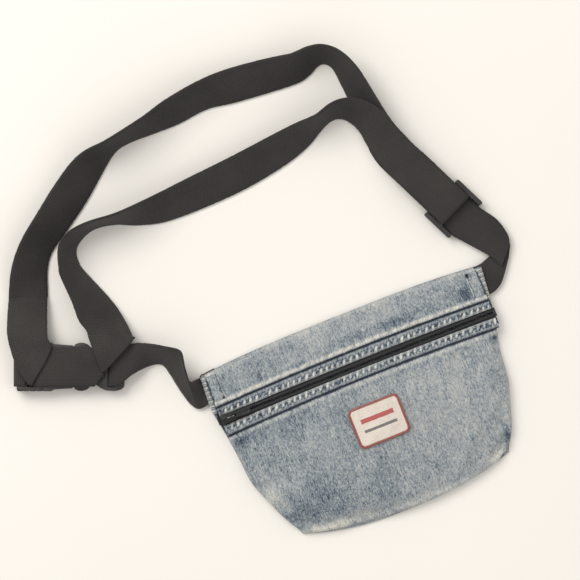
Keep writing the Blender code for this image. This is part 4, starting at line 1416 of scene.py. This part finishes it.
def label(front_grid):
    """A plain woven label with rounded corners, an overlocked edge and two short bars."""
    (half_x, half_y), middle_y = LABEL_HALF, LABEL_Y
    w, u = unit_grid(54, 70, -1)
    squeeze = 3.0

    def row_half(t):
        over = np.clip(np.abs(t) * half_y - (half_y - squeeze), 0, squeeze)
        return half_x - squeeze + np.sqrt(np.clip(squeeze ** 2 - over ** 2, 0, None))

    x = u * row_half(w)
    y = middle_y + w * half_y
    base = heights_on(front_grid, x, y)
    for _ in range(8):
        padded = np.pad(base, 1, mode="edge")
        base = (padded[:-2, 1:-1] + padded[2:, 1:-1] + padded[1:-1, :-2] + padded[1:-1, 2:]) / 4
    edge = np.minimum((1 - np.abs(u)) * row_half(w), (1 - np.abs(w)) * half_y)
    z = base + 1.24 + 0.22 * np.sqrt(np.clip(edge / 1.5, 0, 1))
    z += 0.05 * soft_noise(x, y, 2.5, 61.0)
    grid = place_grid(x, y, z)
    piece = cloth_sheet("label_patch_woven", grid, 0.8, LABEL)
    flat_x, flat_y = x.ravel() * MM, (y.ravel() - middle_y) * MM
    map_uv(piece, np.concatenate([flat_x, flat_x]), np.concatenate([flat_y, flat_y]))
    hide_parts("label_patch")
    opens_with_mouth(piece, FRONT_START)

    gather = Gather()
    loop = rounded_loop(rectangle(-half_x, half_x, -half_y, half_y), squeeze + 1.0, 8)
    closed = np.vstack([loop, loop[:1]])
    steps = running_length(closed)
    for place in np.arange(0, steps[-1], 0.72):
        px = np.interp(place, steps, closed[:, 0])
        py = np.interp(place, steps, closed[:, 1])
        inward = -np.array((px / half_x ** 2, py / half_y ** 2))
        inward /= np.linalg.norm(inward)
        if abs(px) > half_x - 0.5:
            inward = np.array((-np.sign(px), 0.0))
        elif abs(py) > half_y - 0.5:
            inward = np.array((0.0, -np.sign(py)))
        path = []
        for k in np.linspace(0, 1, 6):
            qx = px + inward[0] * (1.5 * k - 0.15)
            qy = py + inward[1] * (1.5 * k - 0.15) + middle_y
            h = sit_on(grid, qx, qy)
            path.append((qx, qy, h - 0.25 + 0.5 * np.sin(np.pi * (0.2 + 0.75 * k))))
        gather.tube(path, 0.30)
    rim = gather.piece("label_overlock", RED_THREAD)
    opens_with_mouth(rim, FRONT_START)


front_grid = front()
band_grid = band()
back()
zip_tapes()
zip_coils()
upper_grid = facing("upper", 1)
lower_grid = facing("lower", -1)
slider_and_tab()
zip_ends()
zip_end_folds()
side_bindings()
strap_tabs(band_grid)
strap_edge(band_grid)
lip_stitches("upper", 1, upper_grid, upper_seam)
lip_stitches("lower", -1, lower_grid, lower_seam)
label(front_grid)


# ------------------------------------------------------------ buckle and adjuster

HOUSING_HALF = 15.5                # half the housing's width
THROUGH = (-1, 12)                 # a cut from below the buckle to above it


def at_buckle(points, radius=0.8, segments=5):
    return [from_buckle(s, t) for s, t in rounded_loop(points, radius, segments)]


def box_at_buckle(name, s0, s1, t0, t1, low, high, radius=0.6):
    return block(name, at_buckle(rectangle(s0, s1, t0, t1), radius), low, high, PLASTIC)


def buckle_housing():
    """The socket half: slot and bar for the belt, open sides for the prongs."""
    half = HOUSING_HALF
    outline = [(-34.2, half), (-12.0, half), (-11.0, 14.4), (1.6, 13.6), (1.6, 11.0), (13.8, 10.4)]
    body = block("buckle_housing", at_buckle(mirrored(outline), 1.6), 0.8, 10.4, PLASTIC)
    cuts = [box_at_buckle("cut_slot", -27.6, -21.0, -12.9, 12.9, *THROUGH),
            box_at_buckle("cut_bar_low", -36.0, -27.4, -12.7, 12.7, -1, 2.3),
            box_at_buckle("cut_bar_high", -36.0, -27.4, -12.7, 12.7, 9.0, 12)]
    socket = mirrored([(-12.0, 12.2), (1.8, 12.2), (1.8, 16.0), (14.8, 16.0)])
    cuts.append(block("cut_socket", [from_buckle(s, t) for s, t in socket], 2.5, 8.7, PLASTIC))
    for side in (-1, 1):
        for k in range(4):
            s = -31.0 + 4.2 * k
            t = side * (HOUSING_HALF - 0.25)
            cuts.append(box_at_buckle(f"cut_grip{side}{k}", s, s + 1.4, t - 0.35, t + 0.35, 2.4, 12,
                                      0.2))
    moulded(body, cuts, bevel=0.45)
    assign(body, "buckle_plastic", "buckle_socket", "buckle_female")


def buckle_prong_half():
    outline = [(15.0, 10.6), (19.0, 13.4), (23.0, 15.2), (29.0, 15.4), (32.6, 14.4), (34.2, 12.4)]
    body = block("buckle_prong_base", at_buckle(mirrored(outline), 1.4), 0.8, 8.2, PLASTIC)
    tongue = box_at_buckle("tongue", -8.0, 17.0, -3.0, 3.0, 3.0, 7.9, 1.0)
    cuts = [box_at_buckle("cut_slot", 23.6, 29.4, -13.0, 13.0, *THROUGH)]
    for k in range(3):
        cuts.append(box_at_buckle(f"cut_rib{k}", 17.4 + 1.7 * k, 18.2 + 1.7 * k, -8, 8, 7.8, 12,
                                  0.2))
    moulded(body, cuts, [tongue], bevel=0.45)
    assign(body, "buckle_plastic", "pack", "buckle_male")
    half = [(14.7, 9.6), (13.2, 11.6), (11.0, 14.2), (8.0, 15.4), (5.0, 15.3), (2.6, 14.2),
            (1.9, 11.8), (-3.0, 11.2), (-6.4, 9.2), (-6.4, 7.4), (-2.0, 6.8), (4.0, 6.7),
            (14.7, 6.6)]
    for word, side in (("front", -1), ("rear", 1)):
        outline = [(s, side * t) for s, t in half]
        arm = moulded(block("buckle_arm_" + word, at_buckle(outline, 0.9, 4), 2.9, 8.3, PLASTIC),
                      bevel=0.4)
        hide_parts("prong_" + word)
        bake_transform(arm, "pack", "prong_" + word + "_body",
                 start=(*(np.array(from_buckle(14.7, side * 8.0)) * MM), 0.0056),
                 end=(*(np.array(from_buckle(4.0, side * 8.0)) * MM), 0.0056))


def adjuster():
    """The tri-glide: two rails, two low outer bars and a raised middle bar."""
    def bar(name, u0, u1, e0, e1, low, high, radius):
        corners = rounded_loop(rectangle(u0, u1, e0, e1), radius)
        outline = [from_glide(u, e) for u, e in corners]
        return block(name, outline, low, high, PLASTIC)

    body = bar("tri_glide_moulded", -11.0, 11.0, 12.9, 15.75, 0.6, 8.1, 1.3)
    adds = [bar("rail", -11.0, 11.0, -15.75, -12.9, 0.6, 8.1, 1.3),
            bar("near", -10.7, -6.9, -14.5, 14.5, 0.8, 2.5, 0.6),
            bar("far", 6.9, 10.7, -14.5, 14.5, 0.8, 2.5, 0.6),
            bar("middle", -1.9, 1.9, -14.5, 14.5, 6.1, 7.9, 0.6)]
    moulded(body, (), adds, bevel=0.5)
    assign(body, "buckle_plastic", "adjuster", "tri_glide")


buckle_housing()
buckle_prong_half()
adjuster()


# ------------------------------------------------------------ floor and light

def make_floor():
    reach = 2500
    corners = [(x, y, 0) for x, y in rectangle(-reach, reach, -reach, reach)]
    link_mesh("floor", corners, [(0, 1, 2, 3)], FLOOR, False)


def floor_material():
    g = Graph("floor", 0.9)
    cloud = g.noise((4, 4, 4), 2.0)
    g.set("Base Color", g.ramp(cloud, ((0.2, 245, 242, 236), (0.8, 248, 245, 239))))
    g.set("Specular IOR Level", 0.1)
    return g.material


FLOOR = floor_material()
make_floor()


def area_light(name, place, target, size, power, colour):
    data = bpy.data.lights.new(name, "AREA")
    data.shape = "RECTANGLE"
    data.size, data.size_y = size
    data.energy = power
    data.color = colour
    light = bpy.data.objects.new(name, data)
    light.location = place
    aim = Vector(target) - Vector(place)
    light.rotation_euler = aim.to_track_quat("-Z", "Y").to_euler()
    bpy.context.scene.collection.objects.link(light)


area_light("key", (-0.55, 1.25, 1.5), (0, 0.08, 0), (1.2, 1.2), 22.5, (1.0, 0.972, 0.94))
area_light("fill", (0.9, -0.8, 1.6), (0, 0.08, 0), (1.6, 1.6), 4.5, (1.0, 0.98, 0.95))
world = bpy.data.worlds.new("world")
bpy.context.scene.world = world
world.use_nodes = True
sky = world.node_tree.nodes["Background"].inputs
sky["Color"].default_value = (1.0, 0.975, 0.948, 1.0)
sky["Strength"].default_value = 0.615
